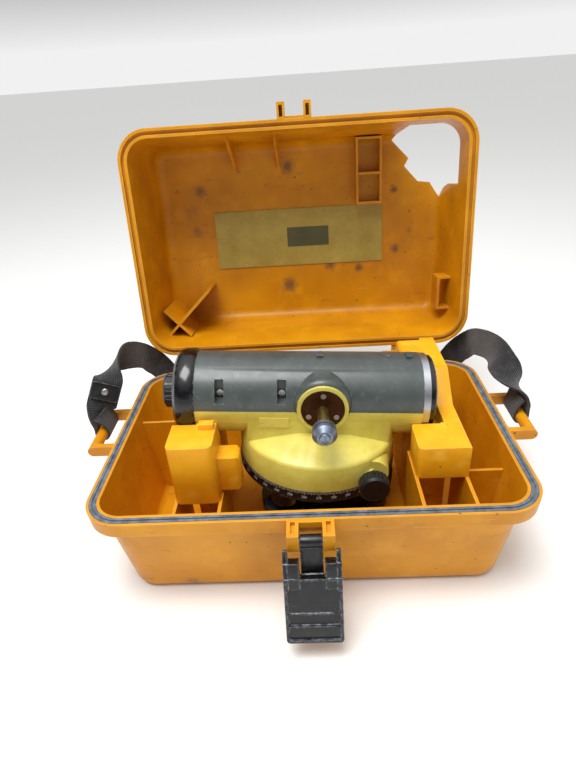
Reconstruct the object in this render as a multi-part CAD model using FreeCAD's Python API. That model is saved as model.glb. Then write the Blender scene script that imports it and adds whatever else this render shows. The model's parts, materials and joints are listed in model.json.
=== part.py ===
"""Automatic (optical) surveying level in its moulded carry case, as separate pieces.

Millimetres. X runs along the telescope towards its objective, +Y points from the latch to the hinge,
+Z is up. The origin is the centre of the case's flat resting face. The lid is modelled shut and then
turned to its open stop; the instrument is modelled upright about its own vertical axis and then set in
its cradles, where it lies a few degrees out of level.
"""
import FreeCAD, Part
import math
import os

V = FreeCAD.Vector

# ---- case: driving sizes ----
case_width = 310.0          # rim, outside, along X
case_depth = 203.6          # rim, outside, along Y
base_height = 85.7          # resting face to rim
rim_corner = 28.0           # outside corner radius of the rim
flange_height = 11.2
flange_overhang = 8.0
wall = 3.0
base_draft_x = 8.5          # each wall leans in by this from flange to floor
base_draft_y = 12.0
bottom_round = 9.0
outer_lip = 1.9
groove_width = 5.2
groove_depth = 3.0
gasket_proud = 0.4

# ---- lid ----
hinge_back = 11.3           # hinge axis behind the rim's back edge
hinge_up = 0.5              # hinge axis above the rim
open_angle = 98.92
lid_depth = 81.0
lid_wall = 2.6
lid_draft = 7.0
lid_round = 13.0
lid_flange_height = 9.0
lid_flange_overhang = 5.0
hinge_radius = 5.6
hinge_pin_radius = 2.0
hinge_at = 92.0             # each hinge's centre, left and right of the middle
hinge_knuckle = 16.0        # length of the lid's middle knuckle
running = 0.05              # radial running clearance of pins and shafts
end_gap = 0.4               # axial gap between neighbouring knuckles

# ---- latch ----
bracket_inner = 7.6         # the two bracket boxes stand this far from the middle
bracket_outer = 15.2
bracket_out = 14.5          # how far they stand out from the rim
bracket_height = 14.5
latch_pin_radius = 1.5
latch_pin_drop = 7.6        # pin below the rim
latch_pin_out = 10.6        # pin in front of the rim
link_length = 25.0
link_thick = 3.4
lever_width = 37.0
lever_length = 43.0         # link pin to lever tip
lever_thick = 6.0
latch_hang = 17.0           # the latch hangs this far out from vertical
prong_length = 13.0
prong_height = 10.6
prong_wall = 1.8
prong_width = 6.6

# ---- strap ----
webbing_width = 25.0
webbing_thick = 1.8
lug_reach = 22.0            # lug bar's axis beyond the rim
lug_radius = 4.5
lug_at_y = 22.5
lug_span = 46.4             # clear length of the lug bar
loop_at_y = 31.5            # the webbing's loop has slid to the bar's rear end
lug_drop = 12.0             # lug bar's axis below the rim

# ---- instrument: its own frame stands on the vertical axis, zero at the circle's underside ----
stand_x = 6.0               # where the vertical axis passes through the circle's plane, in the case
circle_height = 62.3
tilt = 3.55                 # eyepiece end up
circle_radius = 62.3
circle_thick = 9.0
housing_radius = 61.0
shelf_height = 31.0         # the sloping shelf's outer edge
shelf_slope = 0.29
body_half_depth = 30.0
sight_height = 57.0         # line of sight above the circle's underside
barrel_radius = 31.0
barrel_wall = 2.6
barrel_back = -91.0
barrel_front = 74.5
split_height = 58.0         # joint between the housing and the telescope cover
cover_gap = 0.15
foot_plate_depth = 53.0     # the base plate's underside below the circle's underside
foot_screw_circle = 50.0
focus_x = 2.0
focus_z = 62.5
tangent_x = 39.5
tangent_z = 14.2
seat_gap = 0.3              # rest clearance in the cradles and on the seat
spindle_radius = 7.0

half_width = case_width / 2
half_depth = case_depth / 2
hinge_y = half_depth + hinge_back
hinge_z = base_height + hinge_up
floor_width = case_width - 2 * (flange_overhang + base_draft_x)
floor_depth = case_depth - 2 * (flange_overhang + base_draft_y)
flange_under = base_height - flange_height
wall_width = case_width - 2 * flange_overhang
wall_depth = case_depth - 2 * flange_overhang


# ---------------------------------------------------------------- helpers
def box(x0, x1, y0, y1, z0, z1):
    return Part.makeBox(x1 - x0, y1 - y0, z1 - z0, V(x0, y0, z0))


def rod_x(radius, x0, x1, y, z):
    return Part.makeCylinder(radius, x1 - x0, V(x0, y, z), V(1, 0, 0))


def rod_y(radius, y0, y1, x, z):
    return Part.makeCylinder(radius, y1 - y0, V(x, y0, z), V(0, 1, 0))


def rod_z(radius, z0, z1, x=0.0, y=0.0):
    return Part.makeCylinder(radius, z1 - z0, V(x, y, z0), V(0, 0, 1))


def tube_x(outer, inner, x0, x1, y, z):
    return rod_x(outer, x0, x1, y, z).cut(rod_x(inner, x0 - 1, x1 + 1, y, z))


def tube_z(outer, inner, z0, z1, x=0.0, y=0.0):
    return rod_z(outer, z0, z1, x, y).cut(rod_z(inner, z0 - 1, z1 + 1, x, y))


def join(shapes):
    whole = shapes[0].multiFuse(shapes[1:]) if len(shapes) > 1 else shapes[0]
    return whole.removeSplitter()


def group(shapes):
    return Part.makeCompound(shapes)


def plate(points, low, high):
    """A flat plate with a straight-sided outline in X and Y."""
    outline = Part.makePolygon([V(x, y, low) for x, y in points + points[:1]])
    return Part.Face(outline).extrude(V(0, 0, high - low))


def side_plate(points, x0, x1):
    """A flat plate across X, its outline given in Y and Z."""
    outline = Part.makePolygon([V(x0, y, z) for y, z in points + points[:1]])
    return Part.Face(outline).extrude(V(x1 - x0, 0, 0))


def turned(profile, axis_point=V(0, 0, 0), axis=V(0, 0, 1)):
    """Turns an outline of (radius, along) points about an axis along X, Y or Z."""
    if axis.z:
        points = [axis_point + V(r, 0, h) for r, h in profile]
    elif axis.x:
        points = [axis_point + V(h, 0, r) for r, h in profile]
    else:
        points = [axis_point + V(r, h, 0) for r, h in profile]
    outline = Part.makePolygon(points + points[:1])
    return Part.Face(outline).revolve(axis_point, axis, 360)


def rounded_rectangle(width, depth, radius, z, centre_y=0.0):
    w, d, r = width / 2, depth / 2, radius
    edges = []
    corners = [(w - r, d - r, 0), (-w + r, d - r, 90), (-w + r, -d + r, 180), (w - r, -d + r, 270)]
    ends = []
    for x, y, start in corners:
        arc = Part.Arc(Part.Circle(V(x, y + centre_y, z), V(0, 0, 1), r),
                       math.radians(start), math.radians(start + 90)).toShape()
        edges.append(arc)
        ends.append((arc.valueAt(arc.FirstParameter), arc.valueAt(arc.LastParameter)))
    sides = [Part.LineSegment(ends[i][1], ends[(i + 1) % 4][0]).toShape() for i in range(4)]
    ring = []
    for arc, side in zip(edges, sides):
        ring += [arc, side]
    return Part.Wire(ring)


def drafted(low_size, low_z, high_size, high_z, centre_y=0.0):
    """A solid between two rounded rectangles, each given as (width, depth, corner radius)."""
    wires = [rounded_rectangle(*low_size, low_z, centre_y), rounded_rectangle(*high_size, high_z, centre_y)]
    return Part.makeLoft(wires, True, True)


def round_level_edges(solid, z, radius):
    """Rounds every edge that lies level at the given height."""
    level = [e for e in solid.Edges if all(abs(v.Z - z) < 0.01 for v in e.Vertexes)]
    return solid.makeFillet(radius, level)


def shrink(size, inset):
    return (size[0] - 2 * inset, size[1] - 2 * inset, max(size[2] - inset, 1.0))


parts = {}


# ---------------------------------------------------------------- case: base
rim_size = (case_width, case_depth, rim_corner)
wall_size = (wall_width, wall_depth, rim_corner - flange_overhang + 4)
floor_size = (floor_width, floor_depth, rim_corner - flange_overhang)
lip_inset = outer_lip + groove_width + 2.0          # inner edge of the rim
cavity_top = shrink(rim_size, lip_inset)
cavity_floor = shrink(floor_size, wall)

outer_body = drafted(floor_size, 0, wall_size, flange_under + 1)
outer_body = round_level_edges(outer_body, 0, bottom_round)
flange = drafted(shrink(rim_size, 0.8), flange_under, rim_size, base_height)
cavity = drafted(cavity_floor, wall, cavity_top, base_height + 0.5)
cavity = round_level_edges(cavity, wall, bottom_round - wall)


def rim_ring(outer_inset, inner_inset, low, high, centre_y=0.0):
    outer = drafted(shrink(rim_size, outer_inset), low, shrink(rim_size, outer_inset), high, centre_y)
    inner = drafted(shrink(rim_size, inner_inset), low - 1, shrink(rim_size, inner_inset), high + 1, centre_y)
    return outer.cut(inner)


gasket_inset = outer_lip + groove_width
groove = rim_ring(outer_lip, gasket_inset, base_height - groove_depth, base_height + 1)
shell = outer_body.fuse(flange).cut(cavity).cut(groove)

# Knuckles of the two hinges stand on tapered webs behind the rim.
knuckle_side = 9.0


def hinge_webs(low_z, high_z, spans, centre_y, centre_z, reach_to):
    pieces = []
    for side in (-1, 1):
        for low, high in spans:
            x0, x1 = side * hinge_at + low, side * hinge_at + high
            pieces.append(box(x0, x1, reach_to, centre_y, low_z, high_z))
            pieces.append(rod_x(hinge_radius, x0, x1, centre_y, centre_z))
    return pieces


lid_half = hinge_knuckle / 2
base_spans = [(-lid_half - end_gap - knuckle_side, -lid_half - end_gap),
              (lid_half + end_gap, lid_half + end_gap + knuckle_side)]
webs = hinge_webs(hinge_z - hinge_radius, hinge_z - 0.9, base_spans, hinge_y, hinge_z, half_depth - 2)
pin_holes = [rod_x(hinge_pin_radius, side * hinge_at - 40, side * hinge_at + 40, hinge_y, hinge_z)
             for side in (-1, 1)]

# Two slotted boxes on the front flange carry the latch pin.
bracket_front = -half_depth - bracket_out
latch_pin_y = -half_depth - latch_pin_out
latch_pin_z = base_height - latch_pin_drop
boxes = []
for side in (-1, 1):
    x0, x1 = sorted((side * bracket_inner, side * bracket_outer))
    outline = [(-half_depth + 1, base_height), (bracket_front, base_height),
               (bracket_front + 1.5, base_height - bracket_height),
               (-half_depth + 6, base_height - bracket_height)]
    solid_box = side_plate(outline, x0, x1)
    middle = (x0 + x1) / 2
    slot = box(middle - 1.6, middle + 1.6, bracket_front + 3.2, -half_depth - 1.6,
               base_height - 3.2, base_height + 1)
    boxes.append(solid_box.cut(slot))
bridge = box(-bracket_inner, bracket_inner, -half_depth - 2.2, -half_depth + 1, base_height - 5, base_height)
latch_bore = rod_x(latch_pin_radius, -lever_width, lever_width, latch_pin_y, latch_pin_z)

parts["case_tub"] = join([shell, bridge] + webs + boxes).cut(group(pin_holes)).cut(latch_bore)

# Moulded partitions stand on the floor and stop at the walls.
floor_top = wall
rib = 2.4
left_block = (-99.0, -66.0)         # eyepiece cradle, along X
right_block = (76.0, 111.0)         # objective cradle, along X
left_top = 64.0
right_top = 80.0
ribs = []
for x in left_block:
    ribs.append(box(x - rib / 2, x + rib / 2, -half_depth, -24, floor_top, left_top))
for x in right_block:
    ribs.append(box(x - rib / 2, x + rib / 2, -half_depth, -28, floor_top, right_top))
left_rear_y = 30.0
ribs.append(box(-half_width, -106, left_rear_y, left_rear_y + rib, floor_top, 76))
ribs.append(box(-half_width, -124, left_rear_y + rib, left_rear_y + 26, 46, 46 + rib))
ribs.append(box(right_block[1] + rib / 2, half_width, -41, -41 + rib, floor_top, 69))
ribs.append(box(right_block[1] + rib / 2 + 4, half_width, -41 + rib, -18, 38, 38 + rib))
for x in (right_block[0] + 6, right_block[1] - 6):
    ribs.append(box(x - rib / 2, x + rib / 2, 40, half_depth, floor_top, right_top))
partitions = join(ribs).common(cavity)
parts["case_partitions"] = partitions

# Soft rubber cord in the rim's groove.
gasket = rim_ring(outer_lip + 0.15, gasket_inset - 0.15, base_height - groove_depth,
                  base_height + gasket_proud - 0.25)
mid = outer_lip + groove_width / 2
parts["rim_gasket"] = gasket.cut(rim_ring(mid - 0.5, mid + 0.5, base_height - 0.7, base_height + 1))

hinge_half = lid_half + end_gap + knuckle_side
hinge_pins = []
for side in (-1, 1):
    x = side * hinge_at
    hinge_pins.append(rod_x(hinge_pin_radius, x - hinge_half, x + hinge_half, hinge_y, hinge_z))
parts["hinge_pins"] = group(hinge_pins)

parts["latch_pin"] = rod_x(latch_pin_radius, -bracket_outer, bracket_outer, latch_pin_y, latch_pin_z)


# ---------------------------------------------------------------- instrument placement
placement = FreeCAD.Placement(V(stand_x, 0, circle_height), FreeCAD.Rotation(V(0, 1, 0), tilt))


def in_case(shape):
    placed = shape.copy()
    placed.Placement = placement.multiply(placed.Placement)
    return placed


axis_y = V(0, 1, 0)
ring_back, ring_front, ring_radius = barrel_back - 16.0, barrel_back, 33.0
barrel_room = in_case(join([
    rod_x(barrel_radius + seat_gap, barrel_back - 1, barrel_front + 14, 0, sight_height),
    rod_x(ring_radius + seat_gap, ring_back - 2, ring_front + 0.6, 0, sight_height)]))
lift_room = in_case(box(ring_back - 2, barrel_front + 14, -ring_radius - seat_gap, ring_radius + seat_gap,
                        sight_height, sight_height + 90))

# ---------------------------------------------------------------- cradles
block = box(left_block[0], left_block[1], -61, -26, left_top, 115)
upright = [e for e in block.Edges if abs(e.Vertexes[0].Z - e.Vertexes[-1].Z) > 1
           and e.Vertexes[0].Y < -30]
block = block.makeFillet(5, upright)
tab = box(left_block[1] - 12, left_block[1] - 1, -40, -34, 112, 120)
nub = box(left_block[1] - 1, left_block[1] + 16, -50, -34, 67, 97)
nub = nub.makeFillet(4, [e for e in nub.Edges if min(v.X for v in e.Vertexes) > left_block[1] + 10])
saddle = box(left_block[0] + 6, left_block[1] - 6, -30, 30, left_top - 10, 112)
saddle_foot = box(left_block[0] + 6, left_block[1] - 6, -22, 30, floor_top, left_top - 9)
cradle = join([block, tab, nub, saddle, saddle_foot]).cut(barrel_room).cut(lift_room)
parts["eyepiece_cradle"] = cradle.cut(partitions)

neck_outline = [(-60, right_top), (-60, 105.5), (-6, 105.5), (18, 125), (72, 125), (72, right_top)]
neck = side_plate(neck_outline, 100, 112)
front_pad = box(right_block[0], right_block[1], -60, -29, right_top, 106)
front_pad = front_pad.makeFillet(4, [e for e in front_pad.Edges if abs(e.Vertexes[0].Z - e.Vertexes[-1].Z) > 1
                                     and e.Vertexes[0].X < right_block[0] + 1])
rear_pad = box(80, 113, 34, 72, right_top, 125)
rear_top = [e for e in rear_pad.Edges if e.Vertexes[0].Z > 124 and e.Vertexes[-1].Z > 124]
rear_pad = rear_pad.makeFillet(5, rear_top)
right_saddle = box(right_block[0] + 4, 106, -30, 36, right_top - 16, 90)
right_foot = box(right_block[0] + 4, 106, -26, 36, floor_top, right_top - 15)
yoke = join([neck, front_pad, rear_pad, right_saddle, right_foot]).cut(barrel_room).cut(lift_room)
parts["objective_cradle"] = yoke.cut(partitions)

# A seat ring under the base plate lies at the instrument's tilt.
seat_outer, seat_inner = 44.0, 37.0
seat = tube_z(seat_outer, seat_inner, floor_top, 20,
              stand_x - foot_plate_depth * math.sin(math.radians(tilt)), 0)
below_plate = in_case(box(-90, 90, -90, 90, -foot_plate_depth - seat_gap, 40))
parts["base_seat"] = seat.cut(below_plate)

# ---------------------------------------------------------------- strap lugs
lug_x = half_width + lug_reach
lug_z = base_height - lug_drop
for side, name in ((-1, "strap_lug_left"), (1, "strap_lug_right")):
    pieces = []
    wall_x = half_width - flange_overhang
    for y0 in (lug_at_y - lug_span / 2 - 5, lug_at_y + lug_span / 2):
        x0, x1 = sorted((side * wall_x, side * lug_x))
        pieces.append(box(x0, x1, y0, y0 + 5, lug_z - lug_radius, lug_z + lug_radius))
        pieces.append(rod_y(lug_radius, y0, y0 + 5, side * lug_x, lug_z))
    pieces.append(rod_y(lug_radius, lug_at_y - lug_span / 2 - 0.5, lug_at_y + lug_span / 2 + 0.5,
                        side * lug_x, lug_z))
    parts[name] = join(pieces).cut(outer_body).cut(flange)

# ---------------------------------------------------------------- lid (modelled shut)
lid_wall_top = shrink(rim_size, lid_flange_overhang)
lid_roof = shrink(lid_wall_top, lid_draft)
lid_low = hinge_z
lid_high = hinge_z + lid_depth
lid_outer = drafted(lid_wall_top, lid_low + lid_flange_height - 1, lid_roof, lid_high)
lid_outer = round_level_edges(lid_outer, lid_high, lid_round)
lid_flange = drafted(rim_size, lid_low, shrink(rim_size, 0.6), lid_low + lid_flange_height)
lid_cavity = drafted(shrink(rim_size, 8.0), lid_low - 0.5, shrink(lid_roof, lid_wall), lid_high - lid_wall)
lid_cavity = round_level_edges(lid_cavity, lid_high - lid_wall, lid_round - lid_wall)
lid_groove = rim_ring(2.6, 5.6, lid_low - 1, lid_low + 3.0)
lid_shell = lid_outer.fuse(lid_flange).cut(lid_cavity).cut(lid_groove)


def from_hinge(a):
    """Y of a point that lies the distance a in front of the hinge axis while the lid is shut."""
    return hinge_y - a


lid_inner = lid_high - lid_wall

# Each lid knuckle turns on its pin between two base knuckles.
lid_webs = hinge_webs(hinge_z + 0.9, hinge_z + hinge_radius, [(-lid_half, lid_half)], hinge_y, hinge_z,
                      half_depth - 2)
lid_bores = [rod_x(hinge_pin_radius + running, side * hinge_at - 40, side * hinge_at + 40, hinge_y, hinge_z)
             for side in (-1, 1)]

# Two hollow prongs on the lid's front edge, which the latch hooks over.
prongs = []
for side in (-1, 1):
    x = side * 11.2
    front = -half_depth - prong_length
    prong = box(x - prong_width / 2, x + prong_width / 2, front, -half_depth + 1, lid_low,
                lid_low + prong_height)
    hollow = box(x - prong_width / 2 + prong_wall, x + prong_width / 2 - prong_wall, front + 2.5,
                 -half_depth - 1.5, lid_low - 1, lid_low + prong_height - prong_wall)
    prongs.append(prong.cut(hollow))
prong_bridge = box(-8, 8, -half_depth - 2, -half_depth + 1, lid_low + 2, lid_low + 7)

# Stiffening inside the lid.
gussets = []
for x in (-62.0, -19.0):
    run = [(from_hinge(208), lid_low + 14), (from_hinge(208), lid_inner + 1),
           (from_hinge(176), lid_inner + 1)]
    gussets.append(side_plate(run, x - 1.1, x + 1.1))
corner_rib = []
for (xa, aa), (xb, ab) in (((-146, 17), (-94.5, 67)), ((-141, 50), (-116, 23))):
    ya, yb = from_hinge(aa), from_hinge(ab)
    length = math.hypot(xb - xa, yb - ya)
    strip = Part.makeBox(length, 2.4, lid_depth, V(0, -1.2, 0))
    strip.Placement = FreeCAD.Placement(V(xa, ya, lid_low + 27),
                                        FreeCAD.Rotation(V(0, 0, 1),
                                                         math.degrees(math.atan2(yb - ya, xb - xa))))
    corner_rib.append(strip)
low_box = []
for y in (from_hinge(38), from_hinge(68)):
    low_box.append(box(132, half_width, y - 1.1, y + 1.1, lid_low + 30, lid_low + 52))
low_box.append(box(132, 134.4, from_hinge(68), from_hinge(38), lid_low + 30, lid_low + 52))
stiffeners = join(gussets + corner_rib + low_box).common(lid_cavity.cut(box(-200, 200, -200, 200, 0,
                                                                            lid_low + 3)))

# The corner that has broken out.
broken = [(93, 196), (110, 178.7), (106, 171.7), (119.5, 157), (131.5, 155.4), (140.5, 140.7), (145, 153.6),
          (178, 160), (178, 236), (116, 236), (107, 212)]
hole = plate([(x, from_hinge(a)) for x, a in broken], lid_low + 23, lid_high + 20)

lid_pieces = [lid_shell, prong_bridge, stiffeners] + lid_webs + prongs
lid_solid = join(lid_pieces).cut(group(lid_bores)).cut(hole)
base_clear = [rod_x(hinge_radius + end_gap, side * hinge_at + low - end_gap, side * hinge_at + high + end_gap,
                    hinge_y, hinge_z) for side in (-1, 1) for low, high in base_spans]
lid_solid = lid_solid.cut(group(base_clear))


def opened(shape):
    turned_open = shape.copy()
    turned_open.rotate(V(0, hinge_y, hinge_z), V(1, 0, 0), -open_angle)
    return turned_open


parts["lid_shell"] = opened(lid_solid)

pocket_depth = 15.0
pocket = box(57, 82, from_hinge(200), from_hinge(139), lid_inner - pocket_depth, lid_inner)
for low, high in ((141.2, 166.2), (168.6, 197.8)):
    pocket = pocket.cut(box(59.2, 79.8, from_hinge(high), from_hinge(low), lid_inner - pocket_depth - 1,
                            lid_inner + 1))
parts["lid_pocket"] = opened(pocket.cut(lid_solid))

plate_thick = 1.2
label = box(-88, 84, from_hinge(138), from_hinge(81), lid_inner - plate_thick, lid_inner)
window = box(-14, 29, from_hinge(119.5), from_hinge(100), lid_inner - plate_thick,
             lid_inner - plate_thick / 2)
parts["instruction_plate"] = opened(label.cut(window))
parts["plate_window"] = opened(window)

# ---------------------------------------------------------------- latch (modelled hanging straight down)
link_pin_z = latch_pin_z - link_length
link_half = bracket_inner - 0.35
knuckle_radius = 4.3
link_plate = box(-link_half, link_half, latch_pin_y - link_thick / 2, latch_pin_y + link_thick / 2,
                 link_pin_z, latch_pin_z)
link = join([link_plate, rod_x(knuckle_radius, -link_half, link_half, latch_pin_y, latch_pin_z),
             rod_x(3.4, -link_half, link_half, latch_pin_y, link_pin_z)])
link = link.cut(rod_x(latch_pin_radius + running, -40, 40, latch_pin_y, latch_pin_z))
link_pin_radius = 1.3
link = link.cut(rod_x(link_pin_radius, -40, 40, latch_pin_y, link_pin_z))
link_pin = rod_x(link_pin_radius, -bracket_outer, bracket_outer, latch_pin_y, link_pin_z)

# The lever is a shallow tray; its hollow side shows while it hangs.
lever_half = lever_width / 2
tray_back = latch_pin_y - 4.0
tray_front = tray_back - lever_thick
tip_z = link_pin_z - lever_length
tray_top = link_pin_z - 4.0
tray = box(-lever_half, lever_half, tray_front, tray_back, tip_z, tray_top)
tray = tray.makeFillet(2.2, [e for e in tray.Edges if abs(e.Vertexes[0].Y - e.Vertexes[-1].Y) > 1
                             and e.Vertexes[0].Z < tip_z + 1])
upper_recess = box(-lever_half + 2.2, lever_half - 2.2, tray_front - 1, tray_back - 1.8, tip_z + 23,
                   tray_top - 1.5)
lower_recess = box(-lever_half + 2.2, lever_half - 2.2, tray_front - 1, tray_back - 3.2, tip_z + 13.5,
                   tip_z + 21.6)
grip = box(-lever_half + 2.2, lever_half - 2.2, tray_front - 1, tray_back - 3.6, tip_z + 2.2, tip_z + 13.6)
tray = tray.cut(join([upper_recess, lower_recess])).cut(grip)
tray = tray.fuse(side_plate([(tray_back - 3.6, tip_z + 2.0), (tray_back - 3.6, tip_z + 13.6),
                             (tray_front + 0.4, tip_z + 13.6)], -lever_half + 2.0, lever_half - 2.0))
arm_inner = bracket_outer + 0.5
lever_pieces = [tray]
for side in (-1, 1):
    x0, x1 = sorted((side * arm_inner, side * lever_half))
    arm = side_plate([(tray_front, tray_top - 2), (tray_front + 2, link_pin_z + 14),
                      (latch_pin_y, link_pin_z + 19),
                      (latch_pin_y + 2.4, link_pin_z + 10), (latch_pin_y + 3.4,
                                                             link_pin_z - 2), (tray_back, tray_top - 2)],
                     x0, x1)
    k0, k1 = sorted((side * (link_half + 0.4), side * lever_half))
    knuckle = rod_x(3.6, k0, k1, latch_pin_y, link_pin_z)
    cheek = box(k0, k1, tray_front + 0.6, latch_pin_y, tray_top - 1.5, link_pin_z + 2.4)
    dish = rod_x(1.9, min(side * 9.2, side * 14.4), max(side * 9.2, side * 14.4), tray_front + 0.4,
                 link_pin_z - 0.6)
    claw = side_plate([(latch_pin_y + 2, link_pin_z - 1), (latch_pin_y + 10.5, link_pin_z + 2.2),
                       (latch_pin_y + 10.5, link_pin_z + 4.6), (latch_pin_y, link_pin_z + 3.4)], k0,
                      k1).common(box(-14.2, 14.2, -300, 300, -300, 300))
    lever_pieces += [arm, knuckle, cheek.cut(dish), claw]
lever = join(lever_pieces).cut(rod_x(link_pin_radius + running, -40, 40, latch_pin_y, link_pin_z))


def hung(shape):
    """Turns the latch about its pin, from straight down to where it hangs on its stop."""
    swung = shape.copy()
    swung.rotate(V(0, latch_pin_y, latch_pin_z), V(1, 0, 0), -latch_hang)
    return swung


parts["latch_link"] = hung(link)
parts["latch_link_pin"] = hung(link_pin)
parts["latch_lever"] = hung(lever)

# ---------------------------------------------------------------- shoulder strap
strap_gap = 0.3
loop_turn = lug_radius + strap_gap + webbing_thick / 2
lug_turn = lug_x + loop_turn
ground = webbing_width / 2 + 0.2
strap_back = half_depth + 17.0


def squared(route):
    """Each station's point, direction across and direction through, turning without a flip."""
    frames = []
    for index, (point, across) in enumerate(route):
        along = route[min(index + 1, len(route) - 1)][0] - route[max(index - 1, 0)][0]
        across = (across - along * (across.dot(along) / along.dot(along))).normalize()
        if frames and across.dot(frames[-1][1]) < 0:
            across = across * -1
        frames.append((point, across, across.cross(along).normalize()))
    return frames


def ribbon(frames):
    """A webbing ribbon through squared stations, skinned with flat triangles."""
    rings = []
    for point, across, through in frames:
        a = across * (webbing_width / 2)
        t = through * (webbing_thick / 2)
        rings.append([point + a + t, point - a + t, point - a - t, point + a - t])
    corners = []
    for near, far in zip(rings, rings[1:]):
        for k in range(4):
            turn = (k + 1) % 4
            corners += [(near[k], near[turn], far[turn]), (near[k], far[turn], far[k])]
    for end in (rings[0], rings[-1]):
        corners += [(end[0], end[1], end[2]), (end[0], end[2], end[3])]
    skin = Part.makeShell([Part.Face(Part.makePolygon([a, b, c, a])) for a, b, c in corners])
    skin.sewShape()
    band = Part.makeSolid(skin)
    if band.Volume < 0:
        band.reverse()
    return band


def strap_loop(side, lean):
    """From the tucked end, under the lug bar and up its outer face."""
    stations = [(V(side * (lug_x - 1.2), loop_at_y - 1.3, lug_z + 17.5), V(side * -lean, 1, 0)),
                (V(side * (lug_x - 3.8), loop_at_y - 0.4, lug_z + 9.5), axis_y),
                (V(side * (lug_x - loop_turn), loop_at_y, lug_z), axis_y)]
    for step in range(1, 6):
        angle = math.radians(180 + 30 * step)
        out = V(side * math.cos(angle), 0, math.sin(angle))
        stations.append((V(side * lug_x, loop_at_y, lug_z) + out * loop_turn, axis_y))
    stations.append((V(side * lug_turn, loop_at_y, lug_z), axis_y))
    return stations


left_rise = [
    (V(-182.5, loop_at_y, 79), axis_y),
    (V(-181.2, 31.9, 85), V(0.35, 0.94, 0)),
    (V(-179, 32.6, 90.5), V(0.72, 0.7, 0)),
    (V(-176.8, 34.5, 96), V(0.93, 0.36, 0)),
    (V(-173.4, 38.5, 105), V(0.94, 0.34, 0)),
    (V(-170.2, 42.5, 113.5), V(0.95, 0.3, 0)),
    (V(-170.5, 51, 118.5), V(0.85, -0.15, 0.5)),
    (V(-168, 63, 121), V(0.5, -0.1, 0.85)),
    (V(-164, 78, 118), V(0.15, 0.2, 0.95)),
    (V(-161, 94, 111), V(0, 0.4, 0.9)),
    (V(-160, 108, 103), V(0, 0.5, 0.86)),
    (V(-158.5, 120, 94), V(0.15, 0.5, 0.86)),
    (V(-150, 129, 78), V(0.6, 0.1, 0.75)),
    (V(-140, 129.5, 62), V(0.85, 0, 0.53)),
    (V(-130, 129, 46), V(0.85, 0, 0.53)),
    (V(-117, strap_back + 3, 30), V(0.75, 0, 0.65)),
    (V(-101, strap_back + 2, ground + 1.5), V(0.46, 0, 0.88))]
right_rise = [
    (V(182.5, loop_at_y, 79), axis_y),
    (V(181.4, 31.8, 85), V(-0.1, 1, 0)),
    (V(178.2, 33, 92), V(-0.1, 1, 0.1)),
    (V(172, 38, 101), V(0.5, 0.8, 0.4)),
    (V(166, 49, 109.5), V(0.6, 0.2, 0.75)),
    (V(164.5, 62, 113.5), V(0.35, 0, 0.93)),
    (V(162.5, 77, 112), V(0.1, 0.15, 0.97)),
    (V(160.5, 93, 107), V(0, 0.35, 0.93)),
    (V(160, 107, 101), V(0, 0.5, 0.86)),
    (V(158.5, 119, 93), V(-0.15, 0.5, 0.86)),
    (V(150, 129, 78), V(-0.6, 0.1, 0.75)),
    (V(140, 129.5, 62), V(-0.85, 0, 0.53)),
    (V(130, 129, 46), V(-0.85, 0, 0.53)),
    (V(117, strap_back + 3, 30), V(-0.75, 0, 0.65)),
    (V(101, strap_back + 2, ground + 1.5), V(-0.46, 0, 0.88))]
along_ground = [(V(x, strap_back + bow, ground), V(0, 0, 1))
                for x, bow in ((-84, 5.0), (-45, 8.0), (0, 7.0), (45, 5.0), (84, 4.0))]
left_run = strap_loop(-1, 0.5) + left_rise
right_run = strap_loop(1, 0.1) + right_rise
strap_route = left_run + along_ground + right_run[::-1]
strap_frames = squared(strap_route)
parts["shoulder_strap"] = ribbon(strap_frames)
strap_length = sum((b[0] - a[0]).Length for a, b in zip(strap_route, strap_route[1:]))
print("strap flat size", round(webbing_width, 1), "x", round(strap_length, 1))

# A riveted end plate lies on the strap's front face above the left lug.
plate_station = len(strap_loop(-1, 0.5)) + 4
plate_wide, plate_long, end_plate_thick = 24.0, 15.0, 1.6
rivet_radius = 1.6
plate_centre, across, through = strap_frames[plate_station]
outward = through * math.copysign(1, -through.y)
lift = webbing_thick / 2 + strap_gap + 0.8
seat_point = plate_centre + outward * lift
plate_turn = FreeCAD.Rotation(across, outward.cross(across), outward, "ZXY")


def on_strap(shape):
    placed = shape.copy()
    placed.Placement = FreeCAD.Placement(seat_point, plate_turn)
    return placed


end_plate = box(-plate_wide / 2, plate_wide / 2, -plate_long / 2, plate_long / 2, 0, end_plate_thick)
upright = [e for e in end_plate.Edges if abs(e.Vertexes[0].Z - e.Vertexes[-1].Z) > 1]
end_plate = end_plate.makeFillet(2.4, upright)
parts["strap_buckle"] = on_strap(end_plate.cut(rod_z(rivet_radius, -1, end_plate_thick + 1)))
rivet = turned([(0, -0.7), (rivet_radius, -0.7), (rivet_radius, end_plate_thick), (3.2, end_plate_thick),
                (2.2, end_plate_thick + 1.1), (0, end_plate_thick + 1.4)])
parts["buckle_rivet"] = on_strap(rivet)

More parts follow.
